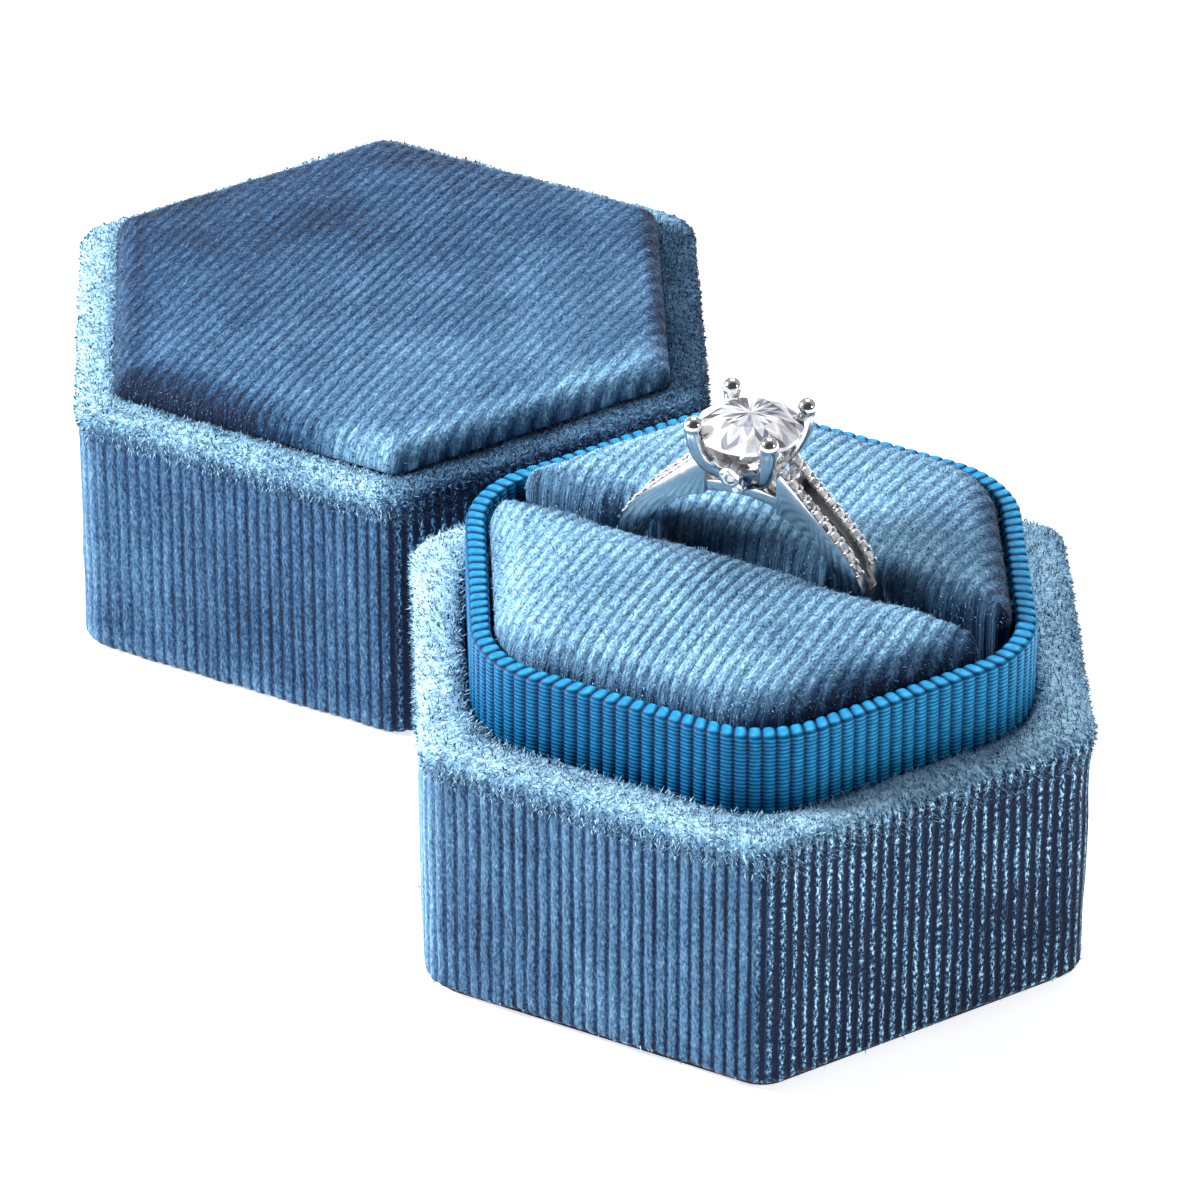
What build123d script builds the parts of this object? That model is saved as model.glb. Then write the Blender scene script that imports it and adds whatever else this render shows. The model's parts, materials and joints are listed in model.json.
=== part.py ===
"""Hexagonal velvet ring box: a base with a ribbon-covered collar and two cushion halves, a lid and a ring.

Units are millimetres, +Z is up. The origin is the centre of the base's underside. The hexagon has two of its
corners on the X axis, and the ring slot runs along X. The lid stands on its rim beside the base.
"""

import os
from math import asin, cos, degrees, radians, sin

from build123d import *

# ---- Overall sizes -------------------------------------------------------------------------------------------
ACROSS_FLATS = 45.0  # outside of the velvet, flat to flat, of the base and of the lid
BASE_HEIGHT = 20.0  # from the table to the top of the base's velvet rim
LID_HEIGHT = 20.0  # from the lid's rim to the velvet border of its top
WALL_CORNER_RADIUS = 3.0  # vertical edges of the base and the lid, outside

# ---- Sheet materials -----------------------------------------------------------------------------------------
VELVET = 0.6  # velvet cloth with its pile
UNDERSIDE_COVER = 0.5  # felt sheet that the base stands on
BOTTOM_BOARD = 2.0
RIBBON = 0.35  # grosgrain ribbon
CARD = 0.8  # card in the lid's top and pad and under the cushions
LINING = 0.2  # paper lining of the lid's ceiling

# ---- Base ----------------------------------------------------------------------------------------------------
BASE_FRAME_WALL = 2.3
BASE_TURN_IN = 0.5  # velvet folded over the rim, between the frame and the ribbon
BASE_TURN_IN_DEPTH = 6.0
TURN_UNDER_WIDTH = 7.0  # velvet folded under the bottom board
COVER_MARGIN = 1.1  # the underside cover stops this far inside the wall

# ---- Collar --------------------------------------------------------------------------------------------------
COLLAR_BOARD = 0.8
COLLAR_REVEAL = 5.6  # how far the collar stands above the base's rim
COLLAR_CORNER_RADIUS = 8.0  # outside of the ribbon
RIBBON_DEPTH = 12.0  # ribbon on the outside of the collar, from the top edge down
RIBBON_FOLD = 3.5  # ribbon folded down inside the collar

# ---- Cushions ------------------------------------------------------------------------------------------------
CUSHION_CLEARANCE = 0.15  # between the cushions and the ribbon's fold
CUSHION_CROWN = 2.7  # cushion tops above the collar's top edge
CUSHION_DOME = 1.9  # how much lower a cushion's top is at the collar than in the middle
CUSHION_ROUNDING = 0.9  # top edges of a cushion, smaller than its slot corners
CUSHION_VELVET = 0.5
SLOT_CLEARANCE = 0.125  # between the ring's rails and each cushion
SLOT_CORNER_RADIUS = 1.1  # upright corners of a cushion at the ends of the slot

# ---- Lid -----------------------------------------------------------------------------------------------------
LID_CLEARANCE = 0.4  # between the lid's inside and the ribbon, all round
LID_TURN_IN = 0.4  # velvet and lining inside the lid's walls
LID_TURN_IN_DEPTH = 7.0  # velvet folded up inside the lid's walls, above the rim
LID_BORDER = 2.6  # velvet border that shows round the pad
PAD_OVERLAP = 1.2  # how far the velvet border runs on under the pad
PAD_RISE = 2.6  # the pad's crown above the border
PAD_ROUNDING = 1.3
PAD_VELVET = 0.5
LID_GAP = 4.8  # between the facing walls of the base and of the lid that stands beside it
LID_SIDESTEP = 1.4  # how far the lid stands off the line through the base's centre
LID_SIDE_ANGLE = 150.0  # direction from the base's centre to the wall that the lid stands beside

# ---- Ring ----------------------------------------------------------------------------------------------------
FINGER_RADIUS = 8.5
BAND_THICKNESS = 1.5
BAND_WIDTH = 2.0
RING_SINK = 2.2  # the ring's centre below the collar's top edge
RING_SEAT_CLEARANCE = 0.05  # under the band, above the block that it stands on
BRIDGE_THICKNESS = 0.8  # band under the head
SHOULDER_ANGLE = 45.0  # where the shoulders leave the round band, above the horizontal
SPLIT_ANGLE = 20.0  # where the two rails of the split shank part
RAIL_WIDTH = 0.95
RAIL_SPREAD = 0.95  # from the ring's middle plane to the middle of a rail
SHOULDER_REACH = 2.7  # shoulders end this far from the ring's centre line, at the head
STONE_DIAMETER = 7.3
STONE_CROWN = 1.15
STONE_GIRDLE = 0.15
STONE_PAVILION = 3.1
STONE_TABLE = 4.2
HEAD_HEIGHT = 6.3  # from the top of the finger hole to the prong tips
HEAD_FOOT_RADIUS = 1.5
BASKET_WALL = 0.5
BASKET_HEIGHT = 2.1
BASKET_RIM_RADIUS = 2.9
PRONG_DIAMETER = 1.15
PRONG_TIP_DIAMETER = 1.35
PRONG_TIP_RADIUS = 4.0  # from the stone's axis to the middle of a prong tip
PRONG_COUNT = 4
BEZEL_DIAMETERS = (1.5, 1.15)  # upper and lower bezel on each face of the basket
BEZEL_WALL = 0.2
BEZEL_LENGTH = 1.0
PAVE_DIAMETER = 0.82
PAVE_PITCH = 0.9
PAVE_COUNT = 10  # stones in each row, all on the rails
PAVE_SEAT = 0.3  # depth of a stone in its rail
SHOULDER_STONE_DIAMETER = 0.95

# ---- Worked out from the sizes above ----------------------------------------------------------
HALF_FLAT = ACROSS_FLATS / 2
FRAME_HALF = HALF_FLAT - VELVET
FRAME_CORNER = WALL_CORNER_RADIUS - VELVET
BASE_FRAME_INNER = FRAME_HALF - BASE_FRAME_WALL
COLLAR_HALF = BASE_FRAME_INNER - BASE_TURN_IN
COLLAR_TOP = BASE_HEIGHT + COLLAR_REVEAL
BOARD_HALF = COLLAR_HALF - RIBBON
BOARD_CORNER = COLLAR_CORNER_RADIUS - RIBBON
BOARD_INNER = BOARD_HALF - COLLAR_BOARD
BOARD_INNER_CORNER = BOARD_CORNER - COLLAR_BOARD
SLOT_WIDTH = 2 * (RAIL_SPREAD + SLOT_CLEARANCE) + RAIL_WIDTH
FOLD_INNER = BOARD_INNER - RIBBON
FOLD_CORNER = BOARD_INNER_CORNER - RIBBON
CUSHION_HALF = FOLD_INNER - CUSHION_CLEARANCE
CUSHION_CORNER = FOLD_CORNER - CUSHION_CLEARANCE
BOTTOM_BOARD_Z = UNDERSIDE_COVER + VELVET
FRAME_Z = BOTTOM_BOARD_Z + BOTTOM_BOARD
CUSHION_TOP = COLLAR_TOP + CUSHION_CROWN
DOME_RADIUS = (CUSHION_HALF**2 + CUSHION_DOME**2) / (2 * CUSHION_DOME)
LID_INNER = COLLAR_HALF + LID_CLEARANCE
LID_FRAME_INNER = LID_INNER + LID_TURN_IN
LID_INNER_CORNER = COLLAR_CORNER_RADIUS + LID_CLEARANCE
LID_FRAME_INNER_CORNER = LID_INNER_CORNER + LID_TURN_IN
LID_BOARD_TOP = LID_HEIGHT - VELVET
LID_BOARD_Z = LID_BOARD_TOP - CARD
PAD_HALF = HALF_FLAT - LID_BORDER
BORDER_INNER = PAD_HALF - PAD_OVERLAP
PAD_CORNER = 1.6
RING_Z = COLLAR_TOP - RING_SINK
BAND_RADIUS = FINGER_RADIUS + BAND_THICKNESS
FINGER_TOP = RING_Z + FINGER_RADIUS
CUSHION_Z = RING_Z - BAND_RADIUS - RING_SEAT_CLEARANCE  # top of the block under the cushions
HEAD_FOOT_Z = FINGER_TOP + BRIDGE_THICKNESS
PRONG_TOP = FINGER_TOP + HEAD_HEIGHT
PRONG_TIP_Z = PRONG_TOP - PRONG_TIP_DIAMETER / 2
STONE_RADIUS = STONE_DIAMETER / 2
GIRDLE_Z = PRONG_TIP_Z - STONE_CROWN * 0.7
CULET_Z = GIRDLE_Z - STONE_PAVILION
LID_DISTANCE = ACROSS_FLATS + LID_GAP


def hexagon(half, corner):
    """A hexagon face with rounded corners; half is from its centre to a flat."""
    face = RegularPolygon(half / cos(radians(30)), 6)
    return fillet(face.vertices(), corner) if corner > 0 else face


def prism(half, corner, z0, z1):
    """A hexagonal block from height z0 to z1."""
    return Pos(0, 0, z0) * extrude(hexagon(half, corner), amount=z1 - z0)


def tube(outer, outer_corner, inner, inner_corner, z0, z1):
    """A hexagonal tube from height z0 to z1."""
    return prism(outer, outer_corner, z0, z1) - prism(inner, inner_corner, z0, z1)


def top_edges(solid):
    """The edges round the highest face of a block."""
    return solid.faces().sort_by(Axis.Z)[-1].edges()


# ---- Base ----------------------------------------------------------------------------------------------------
def base_shells():
    """Bottom cover, bottom board, wall frame and the velvet that wraps them."""
    cover = prism(HALF_FLAT - COVER_MARGIN, FRAME_CORNER, 0, UNDERSIDE_COVER)
    board = prism(FRAME_HALF, FRAME_CORNER, BOTTOM_BOARD_Z, FRAME_Z)
    collar_seat_corner = COLLAR_CORNER_RADIUS + BASE_TURN_IN
    frame_top = BASE_HEIGHT - VELVET
    frame = tube(FRAME_HALF, FRAME_CORNER, BASE_FRAME_INNER, collar_seat_corner, FRAME_Z, frame_top)
    skin = tube(HALF_FLAT, WALL_CORNER_RADIUS, FRAME_HALF, FRAME_CORNER, UNDERSIDE_COVER, BASE_HEIGHT)
    rim = tube(FRAME_HALF, FRAME_CORNER, COLLAR_HALF, COLLAR_CORNER_RADIUS, frame_top, BASE_HEIGHT)
    turn_in_z = frame_top - BASE_TURN_IN_DEPTH
    turn_in = tube(
        BASE_FRAME_INNER, collar_seat_corner, COLLAR_HALF, COLLAR_CORNER_RADIUS, turn_in_z, frame_top
    )
    under_half = FRAME_HALF - TURN_UNDER_WIDTH
    under = tube(FRAME_HALF, FRAME_CORNER, under_half, FRAME_CORNER, UNDERSIDE_COVER, BOTTOM_BOARD_Z)
    velvet = skin + rim + turn_in + under
    return {
        "base_underside_cover": cover,
        "base_bottom_board": board,
        "base_wall_frame": frame,
        "base_velvet_wrap": velvet,
    }


def collar():
    """The inner collar that the lid slides over, and the ribbon folded over its top edge."""
    board_top = COLLAR_TOP - RIBBON
    board = tube(BOARD_HALF, BOARD_CORNER, BOARD_INNER, BOARD_INNER_CORNER, FRAME_Z, board_top)
    outer = tube(
        COLLAR_HALF, COLLAR_CORNER_RADIUS, BOARD_HALF, BOARD_CORNER, COLLAR_TOP - RIBBON_DEPTH, COLLAR_TOP
    )
    over = tube(BOARD_HALF, BOARD_CORNER, FOLD_INNER, FOLD_CORNER, board_top, COLLAR_TOP)
    fold = tube(
        BOARD_INNER, BOARD_INNER_CORNER, FOLD_INNER, FOLD_CORNER, COLLAR_TOP - RIBBON_FOLD, board_top
    )
    return {"collar_board": board, "collar_ribbon": outer + over + fold}


# ---- Cushions ------------------------------------------------------------------------------------------------
def half_block(inset, z0, z1):
    """The front cushion's plan, shrunk by inset on every side, as a block from height z0 to z1."""
    edge = -SLOT_WIDTH / 2 - inset
    cut = Pos(0, edge + ACROSS_FLATS / 2, (z0 + z1) / 2) * Box(2 * ACROSS_FLATS, ACROSS_FLATS, z1 - z0)
    block = prism(CUSHION_HALF - inset, CUSHION_CORNER - inset, z0, z1) - cut
    slot_corners = block.edges().filter_by(Axis.Z).group_by(Axis.Y)[-1]
    return fillet(slot_corners, SLOT_CORNER_RADIUS - inset)


def cushion_block(inset, z0):
    """The front cushion's outer shape, shrunk by inset, with a domed top and rounded top edges."""
    top = CUSHION_TOP - inset
    dome = Pos(0, 0, top - DOME_RADIUS) * Sphere(DOME_RADIUS)
    block = half_block(inset, z0, top + 1) & dome
    return fillet(top_edges(block), CUSHION_ROUNDING - inset)


def cushions():
    """The block under the cushions, and for each cushion its card, its foam and its velvet cover."""
    floor = prism(BOARD_INNER - CUSHION_CLEARANCE, BOARD_INNER_CORNER, FRAME_Z, CUSHION_Z)
    card = half_block(CUSHION_VELVET, CUSHION_Z, CUSHION_Z + CARD)
    foam = cushion_block(CUSHION_VELVET, CUSHION_Z + CARD)
    velvet = cushion_block(0, CUSHION_Z) - card - foam
    pieces = {"cushion_floor_block": floor}
    for side, turn in (("front", 0), ("back", 180)):
        for name, solid in (("card", card), ("foam", foam), ("velvet", velvet)):
            pieces[f"cushion_{side}_{name}"] = Rot(0, 0, turn) * solid
    return pieces


# ---- Lid -----------------------------------------------------------------------------------------------------
def lid_place():
    """Where the lid stands on the table beside the base."""
    normal = Vector(cos(radians(LID_SIDE_ANGLE)), sin(radians(LID_SIDE_ANGLE)))
    along = Vector(normal.Y, -normal.X)
    return Pos(*(normal * LID_DISTANCE + along * LID_SIDESTEP))


def lid():
    """The lid's frame, top board, velvet wrap, linings and padded top, standing on its rim."""
    frame = tube(FRAME_HALF, FRAME_CORNER, LID_FRAME_INNER, LID_FRAME_INNER_CORNER, VELVET, LID_BOARD_Z)
    board = prism(FRAME_HALF, FRAME_CORNER, LID_BOARD_Z, LID_BOARD_TOP)
    skin = tube(HALF_FLAT, WALL_CORNER_RADIUS, FRAME_HALF, FRAME_CORNER, 0, LID_HEIGHT)
    rim = tube(FRAME_HALF, FRAME_CORNER, LID_INNER, LID_INNER_CORNER, 0, VELVET)
    turn_in_z = VELVET + LID_TURN_IN_DEPTH
    turn_in = tube(
        LID_FRAME_INNER, LID_FRAME_INNER_CORNER, LID_INNER, LID_INNER_CORNER, VELVET, turn_in_z
    )
    border = tube(FRAME_HALF, FRAME_CORNER, BORDER_INNER, PAD_CORNER, LID_BOARD_TOP, LID_HEIGHT)
    lining_top = LID_BOARD_Z - LINING
    wall_lining = tube(
        LID_FRAME_INNER, LID_FRAME_INNER_CORNER, LID_INNER, LID_INNER_CORNER, turn_in_z, lining_top
    )
    ceiling = prism(LID_FRAME_INNER, LID_FRAME_INNER_CORNER, lining_top, LID_BOARD_Z)
    pad_card_top = LID_HEIGHT + CARD - PAD_VELVET
    pad_card = prism(BORDER_INNER, PAD_CORNER, LID_BOARD_TOP, LID_HEIGHT) + prism(
        PAD_HALF - PAD_VELVET, PAD_CORNER, LID_HEIGHT, pad_card_top
    )
    pad_top = LID_HEIGHT + PAD_RISE
    foam = prism(PAD_HALF - PAD_VELVET, PAD_CORNER, pad_card_top, pad_top - PAD_VELVET)
    foam = fillet(top_edges(foam), PAD_ROUNDING - PAD_VELVET)
    cover = prism(PAD_HALF, PAD_CORNER + PAD_VELVET, LID_HEIGHT, pad_top)
    cover = fillet(top_edges(cover), PAD_ROUNDING) - foam - pad_card
    solids = {
        "lid_wall_frame": frame,
        "lid_top_board": board,
        "lid_velvet_wrap": skin + rim + turn_in + border,
        "lid_wall_lining": wall_lining,
        "lid_ceiling_lining": ceiling,
        "lid_pad_card": pad_card,
        "lid_pad_foam": foam,
        "lid_pad_velvet": cover,
    }
    place = lid_place()
    return {name: place * solid for name, solid in solids.items()}


# ---- Ring ----------------------------------------------------------------------------------------------------
def on_circle(radius, angle):
    """A point of a circle round the ring's centre, in the ring's own plane."""
    return radius * cos(radians(angle)), radius * sin(radians(angle))


def shoulder_line():
    """The straight outer edge of the right shoulder, from the round band up to the head."""
    start = Vector(*on_circle(BAND_RADIUS, SHOULDER_ANGLE))
    run = Vector(-sin(radians(SHOULDER_ANGLE)), cos(radians(SHOULDER_ANGLE)))
    length = (start.X - SHOULDER_REACH) / -run.X
    return start, run, length


def rail_profile():
    """The side view of the right shoulder's rails, from where they part up to the head."""
    start, run, length = shoulder_line()
    end = start + run * length
    split_out = Vector(*on_circle(BAND_RADIUS, SPLIT_ANGLE))
    split_in = Vector(*on_circle(FINGER_RADIUS, SPLIT_ANGLE))
    mid_angle = (SPLIT_ANGLE + SHOULDER_ANGLE) / 2
    top_angle = 90 - degrees(asin(SHOULDER_REACH / FINGER_RADIUS))
    top_in = Vector(*on_circle(FINGER_RADIUS, top_angle))
    inner_mid = Vector(*on_circle(FINGER_RADIUS, (SPLIT_ANGLE + top_angle) / 2))
    outline = [
        ThreePointArc(split_out, Vector(*on_circle(BAND_RADIUS, mid_angle)), start),
        Line(start, end),
        Line(end, top_in),
        ThreePointArc(top_in, inner_mid, split_in),
        Line(split_in, split_out),
    ]
    return make_face(Wire(outline))


def in_ring_plane(face, y, width):
    """A face of the ring's plane, given thickness width about the plane at y."""
    solid = extrude(Plane.XZ * face, amount=width / 2, both=True)
    return Pos(0, y, RING_Z) * solid


def shank():
    """The round band, the thin bridge under the head and the four rails of the split shoulders."""
    hole = Circle(FINGER_RADIUS)
    split_height = BAND_RADIUS * sin(radians(SPLIT_ANGLE))
    upper = Pos(0, split_height + BAND_RADIUS) * Rectangle(4 * BAND_RADIUS, 2 * BAND_RADIUS)
    lower = in_ring_plane(Circle(BAND_RADIUS) - hole - upper, 0, BAND_WIDTH)
    bridge = in_ring_plane(Circle(FINGER_RADIUS + BRIDGE_THICKNESS) - hole, 0, BAND_WIDTH)
    solid = lower + bridge
    rail = rail_profile()
    for y in (-RAIL_SPREAD, RAIL_SPREAD):
        right = in_ring_plane(rail, y, RAIL_WIDTH)
        solid = solid + right + mirror(right, Plane.YZ)
    return solid


def brilliant():
    """The round centre stone, without its facets."""
    half_girdle = STONE_GIRDLE / 2
    outline = Polyline(
        (0, CULET_Z),
        (STONE_RADIUS, GIRDLE_Z - half_girdle),
        (STONE_RADIUS, GIRDLE_Z + half_girdle),
        (STONE_TABLE / 2, GIRDLE_Z + STONE_CROWN),
        (0, GIRDLE_Z + STONE_CROWN),
        close=True,
    )
    return revolve(Plane.XZ * make_face(outline), Axis.Z, 360)


def prong(angle):
    """A prong that rises from the head's foot, leans out past the girdle and ends in a round tip."""
    foot = (HEAD_FOOT_RADIUS - PRONG_DIAMETER / 3, HEAD_FOOT_Z + PRONG_DIAMETER / 2)
    tip = (PRONG_TIP_RADIUS, PRONG_TIP_Z)
    knee = (PRONG_TIP_RADIUS * 0.8, HEAD_FOOT_Z + (PRONG_TIP_Z - HEAD_FOOT_Z) * 0.42)
    line = Plane.XZ * Spline(foot, knee, tip)
    section = Plane(origin=line @ 0, z_dir=line % 0) * Circle(PRONG_DIAMETER / 2)
    solid = sweep(section, path=line) + Pos(tip[0], 0, tip[1]) * Sphere(PRONG_TIP_DIAMETER / 2)
    return Rot(0, 0, angle) * solid


def basket_radius(z):
    """Outer radius of the head's basket at height z."""
    share = (z - HEAD_FOOT_Z) / BASKET_HEIGHT
    return HEAD_FOOT_RADIUS + (BASKET_RIM_RADIUS - HEAD_FOOT_RADIUS) * share


def bezel_places():
    """Height, distance from the stone's axis and outer diameter of each bezel of one face."""
    z = HEAD_FOOT_Z + BASKET_HEIGHT * 0.8
    places = []
    for diameter in BEZEL_DIAMETERS:
        places.append((z, basket_radius(z), diameter))
        z -= diameter * 0.95
    return places


def outward(radius, z, face_angle):
    """The place and direction of a piece that points out of the basket."""
    return Rot(0, 0, face_angle) * Pos(radius, 0, z) * Rot(0, 90, 0)


def head(stone):
    """The basket and its prongs, notched for the stone, with the bezel cups of its two faces."""
    rim_z = HEAD_FOOT_Z + BASKET_HEIGHT
    inner = Polyline(
        (0, HEAD_FOOT_Z),
        (HEAD_FOOT_RADIUS, HEAD_FOOT_Z),
        (BASKET_RIM_RADIUS, rim_z),
        (BASKET_RIM_RADIUS - BASKET_WALL, rim_z),
        (HEAD_FOOT_RADIUS - BASKET_WALL, HEAD_FOOT_Z + BASKET_WALL),
        (0, HEAD_FOOT_Z + BASKET_WALL),
        close=True,
    )
    solid = revolve(Plane.XZ * make_face(inner), Axis.Z, 360)
    for n in range(PRONG_COUNT):
        solid += prong(360 / PRONG_COUNT * (n + 0.5))
    for face_angle in (-90, 90):
        for z, radius, diameter in bezel_places():
            solid += outward(radius, z, face_angle) * Cylinder(diameter / 2, BEZEL_LENGTH)
    floor = Pos(0, 0, HEAD_FOOT_Z - BAND_THICKNESS / 2) * Box(9, 9, BAND_THICKNESS)
    return solid - floor - stone - bezel_stones()


def small_stone(diameter, depth):
    """A small round stone with its table up, its girdle at height 0."""
    radius = diameter / 2
    outline = Polyline(
        (0, -depth), (radius, 0), (radius * 0.6, radius * 0.35), (0, radius * 0.35), close=True
    )
    return revolve(Plane.XZ * make_face(outline), Axis.Z, 360)


def bezel_stones():
    """The stones in the bezel cups of both faces of the basket."""
    stones = []
    for face_angle in (-90, 90):
        for z, radius, diameter in bezel_places():
            place = outward(radius + BEZEL_LENGTH / 2 - PAVE_SEAT / 2, z, face_angle)
            stones.append(place * small_stone(diameter - 2 * BEZEL_WALL, PAVE_SEAT))
    return stones


def pave_places():
    """The place and tilt of each stone along the right shoulder's outer edge, from the head down."""
    start, run, length = shoulder_line()
    places = []
    for n in range(PAVE_COUNT):
        s = length - PAVE_PITCH * (n + 0.7)
        if s >= 0:
            point, angle = start + run * s, SHOULDER_ANGLE
        else:
            angle = SHOULDER_ANGLE + degrees(s / BAND_RADIUS)
            point = Vector(*on_circle(BAND_RADIUS, angle))
        places.append((point.X, point.Y, angle))
    return places


def pave_stones():
    """The rows of small stones on the rails of both shoulders."""
    stones = []
    for x, z, angle in pave_places():
        for y in (-RAIL_SPREAD, RAIL_SPREAD):
            stone = Pos(x, y, RING_Z + z) * Rot(0, 90 - angle, 0) * small_stone(PAVE_DIAMETER, PAVE_SEAT)
            stones += [stone, mirror(stone, Plane.YZ)]
    return stones


def shoulder_stones():
    """One stone on each side in the gap between the rails, on the bridge beside the head."""
    start, run, length = shoulder_line()
    point = start + run * (length - SHOULDER_STONE_DIAMETER)
    place = Pos(point.X, 0, RING_Z + point.Y) * Rot(0, 90 - SHOULDER_ANGLE, 0)
    stone = place * small_stone(SHOULDER_STONE_DIAMETER, PAVE_SEAT * 2)
    return [stone, mirror(stone, Plane.YZ)]


def ring():
    """The ring's castings and stones, standing in the slot."""
    stone = brilliant()
    band_solid = shank() - pave_stones()
    crown = head(stone) - band_solid
    return {
        "ring_shank": band_solid,
        "ring_head": crown,
        "ring_center_stone": stone,
        "ring_bezel_stones": Compound(children=bezel_stones()),
        "ring_pave_stones": Compound(children=pave_stones()),
        "ring_shoulder_stones": Compound(children=shoulder_stones()),
    }


def main():
    os.makedirs("parts", exist_ok=True)
    pieces = {**base_shells(), **collar(), **cushions(), **lid(), **ring()}
    for name, solid in pieces.items():
        export_step(solid, f"parts/{name}.step")


main()
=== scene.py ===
"""Looks of a hexagonal velvet ring box: the base with its ribbon collar and cushions, the lid beside it, the ring."""
import json
import logging
import math
import random
from dataclasses import dataclass, field
from enum import Enum
from typing import Callable

import bmesh
import bpy
from mathutils import Matrix, Vector, noise


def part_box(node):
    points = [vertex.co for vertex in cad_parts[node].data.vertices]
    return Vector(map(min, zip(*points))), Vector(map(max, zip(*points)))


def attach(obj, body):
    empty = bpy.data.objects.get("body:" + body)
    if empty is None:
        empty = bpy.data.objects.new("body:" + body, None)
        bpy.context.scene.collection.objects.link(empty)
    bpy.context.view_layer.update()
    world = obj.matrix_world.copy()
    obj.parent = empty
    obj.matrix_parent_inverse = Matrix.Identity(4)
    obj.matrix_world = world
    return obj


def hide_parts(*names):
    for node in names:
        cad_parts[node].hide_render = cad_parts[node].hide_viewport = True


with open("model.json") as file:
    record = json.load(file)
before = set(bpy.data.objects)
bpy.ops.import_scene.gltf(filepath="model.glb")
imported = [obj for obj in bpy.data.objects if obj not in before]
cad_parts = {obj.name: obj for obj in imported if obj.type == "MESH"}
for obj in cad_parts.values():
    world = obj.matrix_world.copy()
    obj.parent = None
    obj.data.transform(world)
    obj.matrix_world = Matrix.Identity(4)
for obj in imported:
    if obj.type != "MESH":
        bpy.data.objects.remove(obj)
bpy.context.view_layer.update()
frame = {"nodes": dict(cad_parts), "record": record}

log = logging.getLogger("ring_box")
MM = 0.001
RIB_COLUMNS = 6  # columns of the mesh in one rib
PLAIN_PAINT = (0.5, 0.4, 0.0, 0.0)  # wale, pale tone with painted light and shade, rib count and run where a mesh carries none
SEAM_JUMP = 20  # a face whose rib counts differ by more spans the seam of a wall
Key = tuple[float, float, float]
Paint = dict[Key, tuple[float, float, float, float]]


class Shade(Enum):
    """The two ways the velvet's pile lies."""

    WALL = "wall"
    TOP = "top"


# ---- Shader maths --------------------------------------------------------------------------------------------
class Wire:
    """A node socket that turns Python expressions into Math nodes."""

    def __init__(self, shop: "NodeShop", socket: bpy.types.NodeSocket) -> None:
        """Keeps the socket and the shop that makes its nodes."""
        self.shop = shop
        self.socket = socket

    def _math(self, operation: str, first: object, second: object) -> "Wire":
        """Adds one Math node."""
        return self.shop.maths(operation, first, second)

    def __add__(self, other: object) -> "Wire":
        """self + other."""
        return self._math("ADD", self, other)

    def __radd__(self, other: object) -> "Wire":
        """other + self."""
        return self._math("ADD", other, self)

    def __sub__(self, other: object) -> "Wire":
        """self - other."""
        return self._math("SUBTRACT", self, other)

    def __rsub__(self, other: object) -> "Wire":
        """other - self."""
        return self._math("SUBTRACT", other, self)

    def __mul__(self, other: object) -> "Wire":
        """self * other."""
        return self._math("MULTIPLY", self, other)

    def __rmul__(self, other: object) -> "Wire":
        """other * self."""
        return self._math("MULTIPLY", other, self)

    def __pow__(self, other: object) -> "Wire":
        """self ** other."""
        return self._math("POWER", self, other)


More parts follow.
